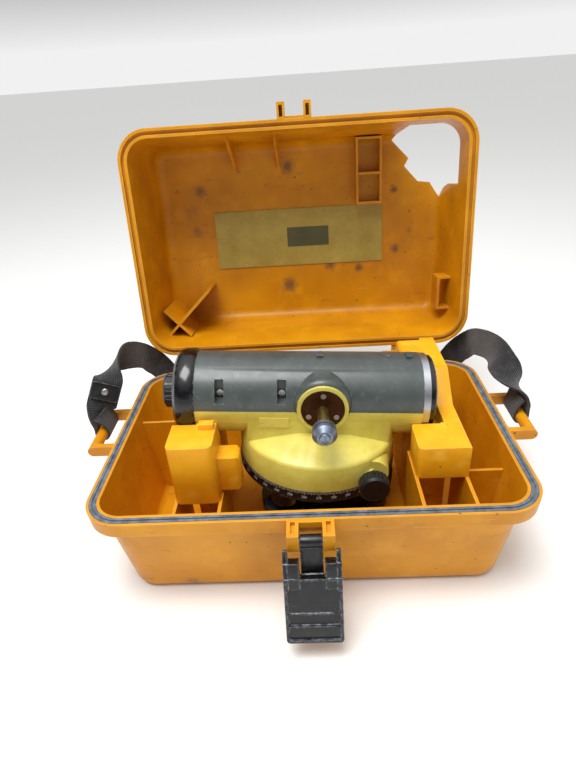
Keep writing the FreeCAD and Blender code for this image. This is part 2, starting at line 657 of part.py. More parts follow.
# ---------------------------------------------------------------- instrument, upright on its own axis
inner = barrel_radius - barrel_wall
across_body = box(-200, 200, -body_half_depth, body_half_depth, circle_thick, split_height)
shelf_top = shelf_height + shelf_slope * (housing_radius - 20)
band_low = turned([(0, circle_thick), (housing_radius, circle_thick), (housing_radius, shelf_height - 2.4),
                   (housing_radius - 0.8, shelf_height - 0.6), (housing_radius - 2.6, shelf_height + 0.6),
                   (20, shelf_top), (0, shelf_top)])
body_block = rod_z(housing_radius - 0.8, circle_thick + 1, split_height).common(across_body)
wall_edges = [e for e in body_block.Edges if abs(e.Vertexes[0].Z - e.Vertexes[-1].Z) > 20]
body_block = body_block.makeFillet(3.0, wall_edges)
trough = rod_x(barrel_radius, barrel_back, barrel_front, 0, sight_height).common(
    box(-200, 200, -60, 60, 0, split_height))
barrel_bore = rod_x(inner, barrel_back - 1, barrel_front + 1, 0, sight_height)
focus_boss = rod_y(18.6, -barrel_radius - 3.2, -8, focus_x, focus_z)
knob_boss = Part.makeCone(16.5, 11.6, 30, V(tangent_x, -18, tangent_z + 1.5), V(0, -1, 0))
knob_boss_rear = Part.makeCone(16.5, 11.6, 30, V(tangent_x, 18, tangent_z + 1.5), V(0, 1, 0))
above_circle = box(-200, 200, -200, 200, circle_thick, 200)
skirt_bore = rod_z(housing_radius - 3, circle_thick - 1, shelf_height - 9)
housing = join([band_low, body_block, trough, focus_boss,
                knob_boss.fuse(knob_boss_rear).common(above_circle)])
skirt = skirt_bore.cut(rod_z(spindle_radius + 7, 0, 60))
chamber = box(-20, 34, -body_half_depth + 3, body_half_depth - 3, 31, split_height + 1)
tangent_bore = rod_y(2.5 + running, -70, 70, tangent_x, tangent_z)
housing = housing.cut(barrel_bore).cut(skirt).cut(chamber).cut(tangent_bore)
housing = housing.fuse(join([rod_y(6.5, -52, -38, tangent_x, tangent_z),
                             rod_y(6.5, 38, 52, tangent_x, tangent_z)])
                       .common(rod_z(housing_radius + 1.8, circle_thick, 60)).cut(tangent_bore))
spindle_hole = rod_z(spindle_radius, circle_thick - 1, 24)
focus_bore = rod_y(4.0 + running, -50, 0, focus_x, focus_z)
disc_radius, disc_thick = 15.6, 2.0
boss_face = -barrel_radius - 3.2
disc_seat = rod_y(disc_radius + 0.1, boss_face, boss_face + 1.2, focus_x, focus_z)
housing = housing.cut(spindle_hole).cut(focus_bore).cut(disc_seat)

# Telescope cover: the upper half of the barrel with a domed collar round the focus boss.
above_split = box(-200, 200, -60, 60, split_height + cover_gap, 200)
cover = rod_x(barrel_radius, barrel_back, barrel_front, 0, sight_height).common(above_split)
dome = rod_y(21.8, boss_face + 1.6, -6, focus_x, focus_z)
dome = dome.makeFillet(5.0, [e for e in dome.Edges if e.Vertexes[0].Y < boss_face + 3 and e.Length > 100])
dome = dome.common(above_split)
slot_at = (-72.5, -27.5)
slot_size = (6.5, 15.5)
cover = join([cover, dome]).cut(barrel_bore)
slot_floor = 20.0
slot_low = split_height + 6
screw_z = slot_low + 4.5
trays, slots, cover_screws = [], [], []
for x in slot_at:
    for y in (-1, 1):
        near, far = sorted((y * (slot_floor - 1.5), y * barrel_radius))
        trays.append(box(x - 5, x + 5, near, far, slot_low - 1.5, slot_low + slot_size[1] + 1.5))
        near, far = sorted((y * slot_floor, y * (barrel_radius + 5)))
        slots.append(box(x - slot_size[0] / 2, x + slot_size[0] / 2, near, far, slot_low,
                         slot_low + slot_size[1]))
        near, far = sorted((y * slot_floor, y * (slot_floor + 1.4)))
        head = rod_y(2.6, near, far, x, screw_z)
        near, far = sorted((y * (slot_floor + 0.8), y * (slot_floor + 2)))
        cover_screws.append(head.cut(box(x - 2, x + 2, near, far, screw_z - 0.35, screw_z + 0.35)))
trays = join(trays).common(rod_x(inner + 0.8, barrel_back, barrel_front, 0, sight_height))
cover = join([cover, trays]).cut(group(slots)).cut(rod_y(18.6 + 0.15, -60, 0, focus_x, focus_z))
parts["telescope_cover"] = in_case(cover)
parts["cover_screws"] = in_case(group(cover_screws))

housing = housing.cut(rod_y(21.8, -60, -6, focus_x, focus_z).cut(rod_y(18.6, -70, 0, focus_x, focus_z))
                      .common(above_split))
parts["main_housing"] = in_case(housing)

# Rings at the telescope's two ends.
tube_profile = [(inner - 2, ring_back), (ring_radius - 5.0, ring_back), (ring_radius - 1.4, ring_back + 2.6),
                (ring_radius, ring_back + 6.5), (ring_radius, ring_front - 2.5), (ring_radius - 1.2,
                                                                                  ring_front),
                (inner - 2, ring_front)]
end_ring = turned(tube_profile, V(0, 0, sight_height), V(1, 0, 0))
end_web = tube_x(inner - 1, 12.2, ring_back + 1.5, ring_back + 5, 0, sight_height)
spigot = tube_x(inner - 0.1, inner - 2, ring_front - 1, ring_front + 5, 0, sight_height)
ocular_tube = tube_x(14.2, 12.2, ring_back - 1.0, ring_front + 8, 0, sight_height)
parts["eyepiece_end_ring"] = in_case(join([end_ring, end_web, spigot, ocular_tube]))

silver_front = barrel_front + 5.0
silver = tube_x(barrel_radius - 0.4, inner - 4, barrel_front, silver_front, 0, sight_height)
lens_barrel = tube_x(inner - 0.1, inner - 2.4, barrel_front - 22, barrel_front + 1, 0, sight_height)
parts["objective_ring"] = in_case(join([silver, lens_barrel]))
hood_front = silver_front + 4.6
parts["objective_hood"] = in_case(turned(
    [(inner - 3.0, silver_front), (barrel_radius - 2.0, silver_front), (barrel_radius - 2.0, hood_front - 1),
     (barrel_radius - 3.0, hood_front), (inner - 1.0, hood_front)], V(0, 0, sight_height), V(1, 0, 0)))

aperture = inner - 2.4 - 0.05
crown_lens = turned([(0, barrel_front - 4), (8, barrel_front - 4.4), (16, barrel_front - 5.8),
                     (aperture, barrel_front - 8.5),
                     (aperture, barrel_front - 10), (0, barrel_front - 10)], V(0, 0, sight_height), V(1, 0,
                                                                                                      0))
flint_lens = turned([(0, barrel_front - 10.1), (aperture, barrel_front - 10.1), (aperture, barrel_front - 14),
                     (14, barrel_front - 13), (0, barrel_front - 12.6)], V(0, 0, sight_height), V(1, 0, 0))
parts["objective_lens"] = in_case(group([crown_lens, flint_lens]))
parts["reticle"] = in_case(rod_x(12.15, ring_back + 18, ring_back + 20, 0, sight_height))

# Eyepiece: a ribbed ring that turns in the ocular tube.
knob_front = ring_back - 1.3
knob_back = knob_front - 9.2
eye_knob = turned([(9.0, knob_back), (11.6, knob_back), (13.2, knob_back + 1.4), (13.2, knob_front),
                   (9.0, knob_front)],
                  V(0, 0, sight_height), V(1, 0, 0))
notches = []
for step in range(24):
    angle = math.radians(15 * step)
    notches.append(rod_x(0.7, knob_back + 1.8, knob_front + 1, 13.5 * math.cos(angle),
                         sight_height + 13.5 * math.sin(angle)))
eye_sleeve = tube_x(12.2 - running, 9.0, knob_front - 1, ring_back + 14, 0, sight_height)
parts["eyepiece_knob"] = in_case(join([eye_knob.cut(group(notches)), eye_sleeve]))
eye_lens = turned([(0, knob_back + 1.2), (8.95, knob_back + 3.0), (8.95, knob_back + 5), (0, knob_back + 5)],
                  V(0, 0, sight_height), V(1, 0, 0))
field_lens = turned([(0, ring_back + 7), (8.95, ring_back + 7), (8.95, ring_back + 9.5),
                     (0, ring_back + 11.5)],
                    V(0, 0, sight_height), V(1, 0, 0))
parts["eyepiece_lenses"] = in_case(group([eye_lens, field_lens]))

# Open sights and small screws on the cover's crown line.
sight_top = sight_height + barrel_radius
sights = []
for x in (0.0, 66.0):
    frame_piece = box(x - 2.2, x + 2.2, -3.4, 3.4, sight_top - 1.5, sight_top + 2.2)
    frame_piece = frame_piece.cut(box(x - 3, x + 3, -1.6, 1.6, sight_top + 0.5, sight_top + 1.5))
    sights.append(frame_piece.cut(rod_x(barrel_radius, x - 5, x + 5, 0, sight_height)))
parts["aiming_sights"] = in_case(group(sights))
screw = rod_z(1.8, sight_top - 0.4, sight_top + 0.6, 51, 0)
screw = screw.cut(rod_x(barrel_radius, 40, 60, 0, sight_height)).cut(box(49, 53, -0.3, 0.3,
                                                                         sight_top + 0.3, sight_top + 2))
parts["sight_screw"] = in_case(screw)

# Focus: bronze flange, brass shaft with its pinion, stepped collar, end screw.
flange_front = boss_face - disc_thick + 1.2
disc = rod_y(disc_radius, flange_front, boss_face + 1.2, focus_x, focus_z).cut(focus_bore)
screws = []
holes = []
for step in range(3):
    angle = math.radians(90 + 120 * step)
    sx, sz = focus_x + 11.5 * math.cos(angle), focus_z + 11.5 * math.sin(angle)
    holes.append(rod_y(2.0, flange_front - 1, flange_front + 1.0, sx, sz))
    head = rod_y(1.95, flange_front - 0.2, flange_front + 1.0, sx, sz)
    screws.append(head.cut(box(sx - 2, sx + 2, flange_front - 1, flange_front + 0.3, sz - 0.25, sz + 0.25)))
parts["focus_flange"] = in_case(disc.cut(group(holes)))
parts["flange_screws"] = in_case(group(screws))

shaft_tip = -68.0
collar_back = -55.5
pinion_y = (-13.0, -5.0)
pinion_radius = 4.0
shaft = join([rod_y(4.0, collar_back + 0.2, pinion_y[0] - 2, focus_x, focus_z),
              rod_y(2.6, shaft_tip, collar_back + 0.4, focus_x, focus_z),
              rod_y(2.4, pinion_y[0] - 3, pinion_y[1], focus_x, focus_z)])
tooth_count = 10
gear_points = []
for step in range(tooth_count):
    base = 360.0 / tooth_count * step
    for offset, radius in ((-11, pinion_radius - 1.0), (-5, pinion_radius + 0.55), (5, pinion_radius + 0.55),
                           (11, pinion_radius - 1.0)):
        angle = math.radians(base + offset + 90)
        gear_points.append(V(focus_x + radius * math.cos(angle), pinion_y[0],
                             focus_z + radius * math.sin(angle)))
gear_face = Part.Face(Part.makePolygon(gear_points + gear_points[:1]))
pinion = gear_face.extrude(V(0, pinion_y[1] - pinion_y[0], 0))
parts["focus_shaft"] = in_case(join([shaft, pinion]))
collar = turned([(2.6, collar_back), (5.6, collar_back), (5.6, collar_back - 2.0), (8.2, collar_back - 2.4),
                 (8.2, collar_back - 5.0), (7.2, collar_back - 5.2), (7.2, collar_back - 6.2),
                 (8.4, collar_back - 6.4), (8.4, collar_back - 9.6), (5.2, collar_back - 13.0), (2.6, collar_back - 13.0)],
                V(focus_x, 0, focus_z), V(0, 1, 0))
parts["focus_collar"] = in_case(collar)
end_screw = turned([(0, shaft_tip), (2.6, shaft_tip), (2.6, collar_back - 13.0), (4.0, collar_back - 13.0),
                    (3.6, collar_back - 14.6), (0, collar_back - 15.4)], V(focus_x, 0, focus_z), V(0, 1, 0))
end_screw = end_screw.cut(box(focus_x - 0.5, focus_x + 0.5, collar_back - 17, collar_back - 14.2,
                              focus_z - 2.6, focus_z + 2.6))
parts["focus_end_screw"] = in_case(end_screw)

# Focusing lens: a cell that slides in the telescope's guide tube, with its rack above the pinion.
guide_outer, guide_inner = 22.0, 20.0
rack_low = focus_z + pinion_radius
cell_x = (20.0, 33.0)
cell = tube_x(guide_inner - running, 11.0, cell_x[0], cell_x[1], 0, sight_height)
rack_bar = box(focus_x - 17, cell_x[0] + 3, pinion_y[0], pinion_y[1], rack_low + 0.7, rack_low + 2.2)
pitch = 2 * math.pi * pinion_radius / tooth_count
teeth = []
for step in range(-6, 6):
    x = focus_x + (step + 0.5) * pitch
    teeth.append(box(x - pitch * 0.19, x + pitch * 0.19, pinion_y[0], pinion_y[1], rack_low - 0.4,
                     rack_low + 0.8))
parts["focus_cell"] = in_case(join([cell, rack_bar] + teeth))
parts["focus_lens"] = in_case(turned(
    [(0, cell_x[0] + 4), (10.95, cell_x[0] + 3), (10.95, cell_x[0] + 8.5), (0, cell_x[0] + 7)],
    V(0, 0, sight_height), V(1, 0, 0)))
guide_x = (-18.0, 50.0)
guide = [tube_x(guide_outer, guide_inner, guide_x[0], guide_x[1], 0, sight_height)]
for x in (guide_x[0] + 2, guide_x[1] - 3):
    guide.append(tube_x(inner - 0.1, guide_inner, x, x + 3, 0, sight_height))
guide = join(guide).cut(rod_y(6.0, -40, -10, focus_x, focus_z))
parts["focus_guide"] = in_case(guide)

# Compensator: a prism that hangs from a cross pin inside a frame, with an air damper below it.
pivot_x, pivot_z = -52.0, sight_height + 15.0
frame_x = (-68.0, -37.0)
room = rod_x(inner - 0.1, frame_x[0], frame_x[1], 0, sight_height)
frame_parts = [box(frame_x[0], frame_x[1], -21, 21, 20, sight_height - 20)]
for y in (-20, 17):
    frame_parts.append(box(pivot_x - 9, pivot_x + 9, y, y + 3, 20, 90))
hanger = rod_y(1.2, -20, 20, pivot_x, pivot_z)
parts["compensator_frame"] = in_case(join(frame_parts).common(room).cut(hanger))
parts["compensator_pin"] = in_case(hanger)
damper_x = pivot_x
cup_low = sight_height - 20
parts["damper_cup"] = in_case(tube_z(6.6, 5.4, cup_low, cup_low + 6, damper_x, 0))
hub = rod_y(3.4, -15, 15, pivot_x, pivot_z)
hanging = [hub, box(pivot_x - 2.6, pivot_x + 2.6, -15, -12.2, sight_height - 8, pivot_z),
           box(pivot_x - 2.6, pivot_x + 2.6, 12.2, 15, sight_height - 8, pivot_z),
           box(pivot_x - 12, pivot_x + 12, -15, 15, sight_height - 11, sight_height - 8),
           rod_z(2.0, cup_low + 3, sight_height - 9, damper_x, 0),
           rod_z(4.2, cup_low + 2.4, cup_low + 4.4, damper_x, 0)]
parts["compensator_pendulum"] = in_case(join(hanging).cut(rod_y(1.2 + running, -30, 30, pivot_x, pivot_z)))
prism_base, prism_top = sight_height - 8, sight_height + 6
prism_points = [V(pivot_x - 11, -9, prism_base), V(pivot_x + 11, -9, prism_base),
                V(pivot_x + 4, -9, prism_top),
                V(pivot_x - 4, -9, prism_top)]
prism_face = Part.Face(Part.makePolygon(prism_points + prism_points[:1]))
parts["compensator_prism"] = in_case(prism_face.extrude(V(0, 18, 0)))

# Vertical axis, circle, tribrach and base plate.
parts["spindle"] = in_case(rod_z(spindle_radius, -26, 24))
bush_radius = 12.0
hub_radius = 24.0
upper_hub = 19.8
foot_at = [(foot_screw_circle * math.cos(math.radians(a)), foot_screw_circle * math.sin(math.radians(a)))
           for a in (0, 120, 240)]


def three_arms(low, high, boss, arm_half, centre):
    pieces = [rod_z(centre, low, high)]
    for index, (x, y) in enumerate(foot_at):
        arm = box(0, foot_screw_circle, -arm_half, arm_half, low, high)
        arm.rotate(V(0, 0, 0), V(0, 0, 1), 120 * index)
        pieces += [arm, rod_z(boss, low, high, x, y)]
    return join(pieces)


foot_thread = 4.0
foot_bores = group([rod_z(foot_thread + running, -60, 10, x, y) for x, y in foot_at])
tribrach = join([three_arms(-12, -1.8, 10.5, 10, 33), rod_z(34, -2, 1.2), rod_z(hub_radius - running, 0, 7.5),
                 tube_z(upper_hub, 14.6, 7, 17.4), rod_z(17, -26, -11)])
tribrach = tribrach.cut(rod_z(bush_radius, -40, 7.6)).cut(rod_z(14.6, 7.5, 20)).cut(foot_bores)
parts["tribrach"] = in_case(tribrach)
parts["axis_bush"] = in_case(tube_z(bush_radius, spindle_radius + running, -26, 6.5))
parts["clutch_wheel"] = in_case(tube_z(35.3, upper_hub, 11.5, 17.0))
circle_top = circle_thick - 0.4
circle = turned([(hub_radius, 1.5), (hub_radius, 5.2), (54, 5.2), (56.5, circle_top),
                 (housing_radius, circle_top),
                 (circle_radius - 0.3, 2.4), (circle_radius, 2.0), (circle_radius, 0.8),
                 (circle_radius - 0.8, 0),
                 (50, 0), (48, 1.5)])
parts["horizontal_circle"] = in_case(circle)
foot_floor = -foot_plate_depth
socket_depth = 3.2
for index, (x, y) in enumerate(foot_at):
    knob = rod_z(14.5, -33, -17, x, y)
    flutes = []
    for step in range(18):
        angle = math.radians(20 * step)
        flutes.append(rod_z(1.5, -34, -18.5, x + 15.1 * math.cos(angle), y + 15.1 * math.sin(angle)))
    stem = rod_z(foot_thread, foot_floor + socket_depth + 3, -3.2, x, y)
    toe = rod_z(5.6, foot_floor + 7 - socket_depth, foot_floor + 10, x, y)
    parts["foot_screw_%d" % (index + 1)] = in_case(join([knob.cut(group(flutes)), stem, toe]))
sockets = group([rod_z(5.6 + running, foot_floor + 7 - socket_depth, foot_floor + 8, x, y)
                 for x, y in foot_at])
thread_radius = 6.95
thread_length = 12.0
base_plate = join([three_arms(foot_floor, foot_floor + 7, 12.5, 11, 46),
                   rod_z(15, foot_floor, foot_floor + thread_length)])
parts["base_plate"] = in_case(base_plate.cut(rod_z(thread_radius, foot_floor - 1,
                                                   foot_floor + thread_length + 1)).cut(sockets))

# Tangent drive: one shaft with a worm against the clutch wheel and a knob at each end.
knob_inner, knob_outer = 54.7, 64.8
tangent_shaft = join([rod_y(2.5, -knob_outer + 1, knob_outer - 1, tangent_x, tangent_z),
                      rod_y(3.9, -9, 9, tangent_x, tangent_z)])
parts["tangent_shaft"] = in_case(tangent_shaft)
tangent_knobs = []
for side in (-1, 1):
    low, high = sorted((side * knob_inner, side * knob_outer))
    profile = [(0, side * knob_outer), (9.8, side * knob_outer),
               (11.0, side * (knob_outer - 1.4)),
               (11.0, side * (knob_inner + 0.6)), (10.4, side * knob_inner), (0, side * knob_inner)]
    knob = turned(profile, V(tangent_x, 0, tangent_z), V(0, 1, 0))
    flutes = []
    for step in range(20):
        angle = math.radians(18 * step)
        flutes.append(rod_y(0.9, min(side * (knob_inner - 1), side * (knob_outer - 2.6)),
                            max(side * (knob_inner - 1), side * (knob_outer - 2.6)),
                            tangent_x + 11.4 * math.cos(angle), tangent_z + 11.4 * math.sin(angle)))
    tangent_knobs.append(knob.cut(group(flutes)).cut(tangent_shaft))
parts["tangent_knobs"] = in_case(group(tangent_knobs))

# Serial plate, left blank, on the wall below the telescope.
parts["blank_plate"] = in_case(box(-43.9, -22.3, -barrel_radius - 0.4, -body_half_depth + 0.5, 44.9,
                                   52.9).cut(housing))

# Circular bubble on the far shelf.
bubble_x, bubble_y = -20.0, 43.5
bubble_top = shelf_height + 12
bubble_case = turned([(0, shelf_height - 6), (12, shelf_height - 6), (12, bubble_top - 1),
                      (11, bubble_top), (8.6, bubble_top),
                      (8.6, bubble_top - 6), (0, bubble_top - 6)], V(bubble_x, bubble_y, 0))
parts["bubble_case"] = in_case(bubble_case.cut(housing))
parts["bubble_vial"] = in_case(turned([(0, bubble_top - 6), (8.55, bubble_top - 6), (8.55, bubble_top - 1),
                                       (6, bubble_top - 0.3),
                                       (0, bubble_top)], V(bubble_x, bubble_y, 0)))

# ---------------------------------------------------------------- write
os.makedirs("parts", exist_ok=True)
for name, shape in parts.items():
    solids = shape.Solids
    if not shape.isValid() or not solids:
        print("CHECK", name, "valid", shape.isValid(), "solids", len(solids))
    body = solids[0] if len(solids) == 1 else Part.makeCompound(solids)
    body.exportStep("parts/%s.step" % name)
print(len(parts), "nodes")
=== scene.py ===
import json
import math
import bmesh
import bpy
from mathutils import Matrix, Vector


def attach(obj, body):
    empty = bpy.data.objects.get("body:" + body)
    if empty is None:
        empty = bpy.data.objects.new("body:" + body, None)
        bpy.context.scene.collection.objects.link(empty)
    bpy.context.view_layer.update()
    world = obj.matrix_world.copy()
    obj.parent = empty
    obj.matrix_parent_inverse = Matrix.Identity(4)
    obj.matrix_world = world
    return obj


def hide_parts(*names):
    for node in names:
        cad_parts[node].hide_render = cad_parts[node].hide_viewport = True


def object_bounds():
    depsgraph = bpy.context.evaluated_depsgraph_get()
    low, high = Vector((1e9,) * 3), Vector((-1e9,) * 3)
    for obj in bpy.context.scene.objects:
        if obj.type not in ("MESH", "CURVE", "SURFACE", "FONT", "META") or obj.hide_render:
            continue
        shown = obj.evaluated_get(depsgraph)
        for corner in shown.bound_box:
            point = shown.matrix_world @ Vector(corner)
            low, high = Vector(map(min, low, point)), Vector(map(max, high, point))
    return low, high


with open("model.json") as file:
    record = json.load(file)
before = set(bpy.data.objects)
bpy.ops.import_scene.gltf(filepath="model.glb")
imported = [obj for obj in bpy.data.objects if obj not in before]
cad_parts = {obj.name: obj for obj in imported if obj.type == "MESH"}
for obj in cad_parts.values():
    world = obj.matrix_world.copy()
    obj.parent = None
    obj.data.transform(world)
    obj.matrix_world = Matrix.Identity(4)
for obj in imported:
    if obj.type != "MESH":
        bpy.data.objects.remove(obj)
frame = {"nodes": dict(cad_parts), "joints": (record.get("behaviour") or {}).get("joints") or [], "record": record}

cadLow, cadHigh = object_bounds()
mm = 0.001
print("frame loaded")

scene = bpy.context.scene


# ---- small helpers ----
def linear(hexColour):  # sRGB hex to linear RGBA
    values = [int(hexColour[i:i + 2], 16) / 255 for i in (1, 3, 5)]
    return tuple(v / 12.92 if v <= 0.04045 else ((v + 0.055) / 1.055) ** 2.4 for v in values) + (1.0,)


def addNode(tree, kind, inputs=None, **settings):
    node = tree.nodes.new(kind)
    for key, value in settings.items():
        setattr(node, key, value)
    for key, value in (inputs or {}).items():
        if isinstance(value, bpy.types.NodeSocket):
            tree.links.new(value, node.inputs[key])
        else:
            node.inputs[key].default_value = value
    return node


# a node material with its shader and an object-space position to draw patterns on
def newMaterial(name, colour, roughness, metallic=0.0, ior=1.5):
    material = bpy.data.materials.new(name)
    material.use_nodes = True
    tree = material.node_tree
    tree.nodes.clear()
    shader = addNode(tree, "ShaderNodeBsdfPrincipled",
                     {"Base Color": linear(colour), "Roughness": roughness, "Metallic": metallic, "IOR": ior})
    addNode(tree, "ShaderNodeOutputMaterial", {"Surface": shader.outputs[0]})
    place = addNode(tree, "ShaderNodeTexCoord").outputs["Object"]
    return material, tree, shader, place


# noise whose blobs are about sizeMm across
def noiseAt(tree, place, sizeMm, detail=3.0, roughness=0.55, stretch=(1, 1, 1), shift=(0, 0, 0)):
    mapped = addNode(tree, "ShaderNodeMapping", {"Vector": place, "Scale": stretch, "Location": shift})
    return addNode(tree, "ShaderNodeTexNoise", {"Vector": mapped.outputs[0], "Scale": 1.0 / (sizeMm * mm),
                                                "Detail": detail, "Roughness": roughness}).outputs["Fac"]


def ranged(tree, value, low, high, toLow=0.0, toHigh=1.0):
    return addNode(tree, "ShaderNodeMapRange", {"Value": value, "From Min": low, "From Max": high,
                                                "To Min": toLow, "To Max": toHigh}).outputs[0]


def calc(tree, operation, a, b=0.5, clamp=False):
    return addNode(tree, "ShaderNodeMath", {0: a, 1: b}, operation=operation, use_clamp=clamp).outputs[0]


def tinted(tree, factor, first, second, blend="MIX"):  # mixes two colours, each a hex or a socket
    pick = [linear(c) if isinstance(c, str) else c for c in (first, second)]
    return addNode(tree, "ShaderNodeMix", {0: factor, 6: pick[0], 7: pick[1]},
                   data_type="RGBA", blend_type=blend).outputs[2]


def edgeMask(tree, radiusMm, low=0.995, high=0.86):  # 1 on edges and corners, 0 on flat ground
    rounded = addNode(tree, "ShaderNodeBevel", {"Radius": radiusMm * mm}, samples=4).outputs[0]
    flat = addNode(tree, "ShaderNodeNewGeometry").outputs["Normal"]
    dot = addNode(tree, "ShaderNodeVectorMath", {0: rounded, 1: flat}, operation="DOT_PRODUCT").outputs["Value"]
    return ranged(tree, dot, low, high)


# bump from a height, over slightly rounded edges
def bumped(tree, shader, height, strength, distanceMm, edgeMm=0.0):
    inputs = {"Height": height, "Strength": strength, "Distance": distanceMm * mm}
    if edgeMm:
        inputs["Normal"] = addNode(tree, "ShaderNodeBevel", {"Radius": edgeMm * mm}, samples=4).outputs[0]
    bump = addNode(tree, "ShaderNodeBump", inputs)
    tree.links.new(bump.outputs[0], shader.inputs["Normal"])


def spotMask(tree, place, spots, ragged):  # soft ragged blotches at given places, (x, y, z, radius) in metres
    total = None
    for x, y, z, radius in spots:
        reach = addNode(tree, "ShaderNodeVectorMath", {0: place, 1: (x, y, z)}, operation="DISTANCE").outputs["Value"]
        worn = calc(tree, "ADD", reach, calc(tree, "MULTIPLY", ragged, radius * 1.5))
        spot = ranged(tree, worn, radius * 1.75, radius * 0.95)
        total = spot if total is None else calc(tree, "MAXIMUM", total, spot)
    return total


# ---- materials ----
plasticLook = {"colour": "#DA940C", "deep": "#C27C06", "bleached": "#EAA424", "scuff": "#6B4A3C",
               "scratch": "#E9C08A", "mouldGrainMm": 0.35, "patchMm": 55}


# moulded high-density polyethylene: waxy, even, faintly grained, with scuffs pressed into it
def casePlastic(name, look, spots=(), scuffAmount=0.5):
    material, tree, shader, place = newMaterial(name, look["colour"], 0.42, ior=1.5)
    shader.inputs["Specular IOR Level"].default_value = 0.32
    patch = noiseAt(tree, place, look["patchMm"], 2)
    colour = tinted(tree, ranged(tree, patch, 0.3, 0.7), look["deep"], look["colour"])
    fade = noiseAt(tree, place, look["patchMm"] * 0.4, 4, shift=(3, 1, 2))
    colour = tinted(tree, ranged(tree, fade, 0.52, 0.8, 0, 0.6), colour, look["bleached"])
    smear = noiseAt(tree, place, 9, 5, 0.7, (0.35, 1, 1.2), (1, 5, 2))
    dirty = ranged(tree, smear, 0.62, 0.74, 0, scuffAmount)
    colour = tinted(tree, dirty, colour, look["scuff"])
    specks = addNode(tree, "ShaderNodeTexVoronoi", {"Vector": place, "Scale": 1 / (11 * mm), "Randomness": 1.0})
    size = noiseAt(tree, place, 6, 2, shift=(7, 7, 1))
    dots = ranged(tree, calc(tree, "SUBTRACT", specks.outputs["Distance"], calc(tree, "MULTIPLY", size, 0.16)),
                  -0.01, -0.03, 0, 0.75)
    colour = tinted(tree, dots, colour, "#33231A")
    lines = noiseAt(tree, place, 1.4, 2, 0.5, (0.06, 1, 1), (2, 9, 4))
    cross = noiseAt(tree, place, 1.2, 2, 0.5, (1, 0.08, 0.05), (8, 2, 6))
    scored = calc(tree, "MAXIMUM", ranged(tree, lines, 0.70, 0.76), ranged(tree, cross, 0.72, 0.78))
    rubbed = ranged(tree, noiseAt(tree, place, 40, 2, shift=(4, 4, 4)), 0.45, 0.6)
    scored = calc(tree, "MULTIPLY", scored, rubbed)
    colour = tinted(tree, calc(tree, "MULTIPLY", scored, 0.45), colour, look["scratch"])
    if spots:
        ragged = noiseAt(tree, place, 5, 6, 0.72, shift=(1, 1, 8))
        mark = spotMask(tree, place, spots, ragged)
        colour = tinted(tree, calc(tree, "MULTIPLY", mark, 0.7), colour, "#4A3A3A")
    edges = edgeMask(tree, 1.2)
    colour = tinted(tree, calc(tree, "MULTIPLY", edges, 0.55), colour, "#F7BE62")
    tree.links.new(colour, shader.inputs["Base Color"])
    rough = calc(tree, "ADD", ranged(tree, smear, 0.4, 0.8, 0.34, 0.52), calc(tree, "MULTIPLY", scored, 0.15))
    tree.links.new(rough, shader.inputs["Roughness"])
    grain = noiseAt(tree, place, look["mouldGrainMm"], 2)
    bumped(tree, shader, calc(tree, "SUBTRACT", grain, calc(tree, "MULTIPLY", scored, 0.8)), 0.25, 0.12, 0.5)
    return material


# baked enamel over cast alloy: smooth, slightly orange-peeled, chipped to metal on its edges
def enamel(name, colour, shade, roughness, chip="#8F8B80", chipAmount=0.7, dust="#C8C0A0", dustAmount=0.12):
    material, tree, shader, place = newMaterial(name, colour, roughness)
    patch = noiseAt(tree, place, 18, 3)
    paint = tinted(tree, ranged(tree, patch, 0.3, 0.7), shade, colour)
    grime = noiseAt(tree, place, 5, 5, 0.7, shift=(2, 2, 2))
    paint = tinted(tree, ranged(tree, grime, 0.55, 0.8, 0, dustAmount), paint, dust)
    chips = calc(tree, "MULTIPLY", edgeMask(tree, 0.7), ranged(tree, noiseAt(tree, place, 2.2, 4, 0.7), 0.5, 0.62))
    paint = tinted(tree, calc(tree, "MULTIPLY", chips, chipAmount), paint, chip)
    tree.links.new(paint, shader.inputs["Base Color"])
    tree.links.new(ranged(tree, grime, 0.3, 0.8, roughness - 0.06, roughness + 0.16), shader.inputs["Roughness"])
    shader.inputs["Coat Weight"].default_value = 0.25
    shader.inputs["Coat Roughness"].default_value = 0.2
    bumped(tree, shader, noiseAt(tree, place, 1.1, 2), 0.12, 0.08, 0.35)
    return material


# turned or brushed metal: fine tool marks, tarnish in patches
def metal(name, colour, shade, roughness, grainMm=0.25, stretch=(1, 1, 1), tarnish=0.3):
    material, tree, shader, place = newMaterial(name, colour, roughness, 1.0)
    patch = noiseAt(tree, place, 4, 4, 0.65)
    tone = tinted(tree, ranged(tree, patch, 0.4, 0.75, 0, tarnish), colour, shade)
    tree.links.new(tone, shader.inputs["Base Color"])
    marks = noiseAt(tree, place, grainMm, 2, stretch=stretch)
    tree.links.new(ranged(tree, marks, 0.3, 0.7, roughness - 0.07, roughness + 0.1), shader.inputs["Roughness"])
    bumped(tree, shader, marks, 0.2, 0.03, 0.2)
    return material


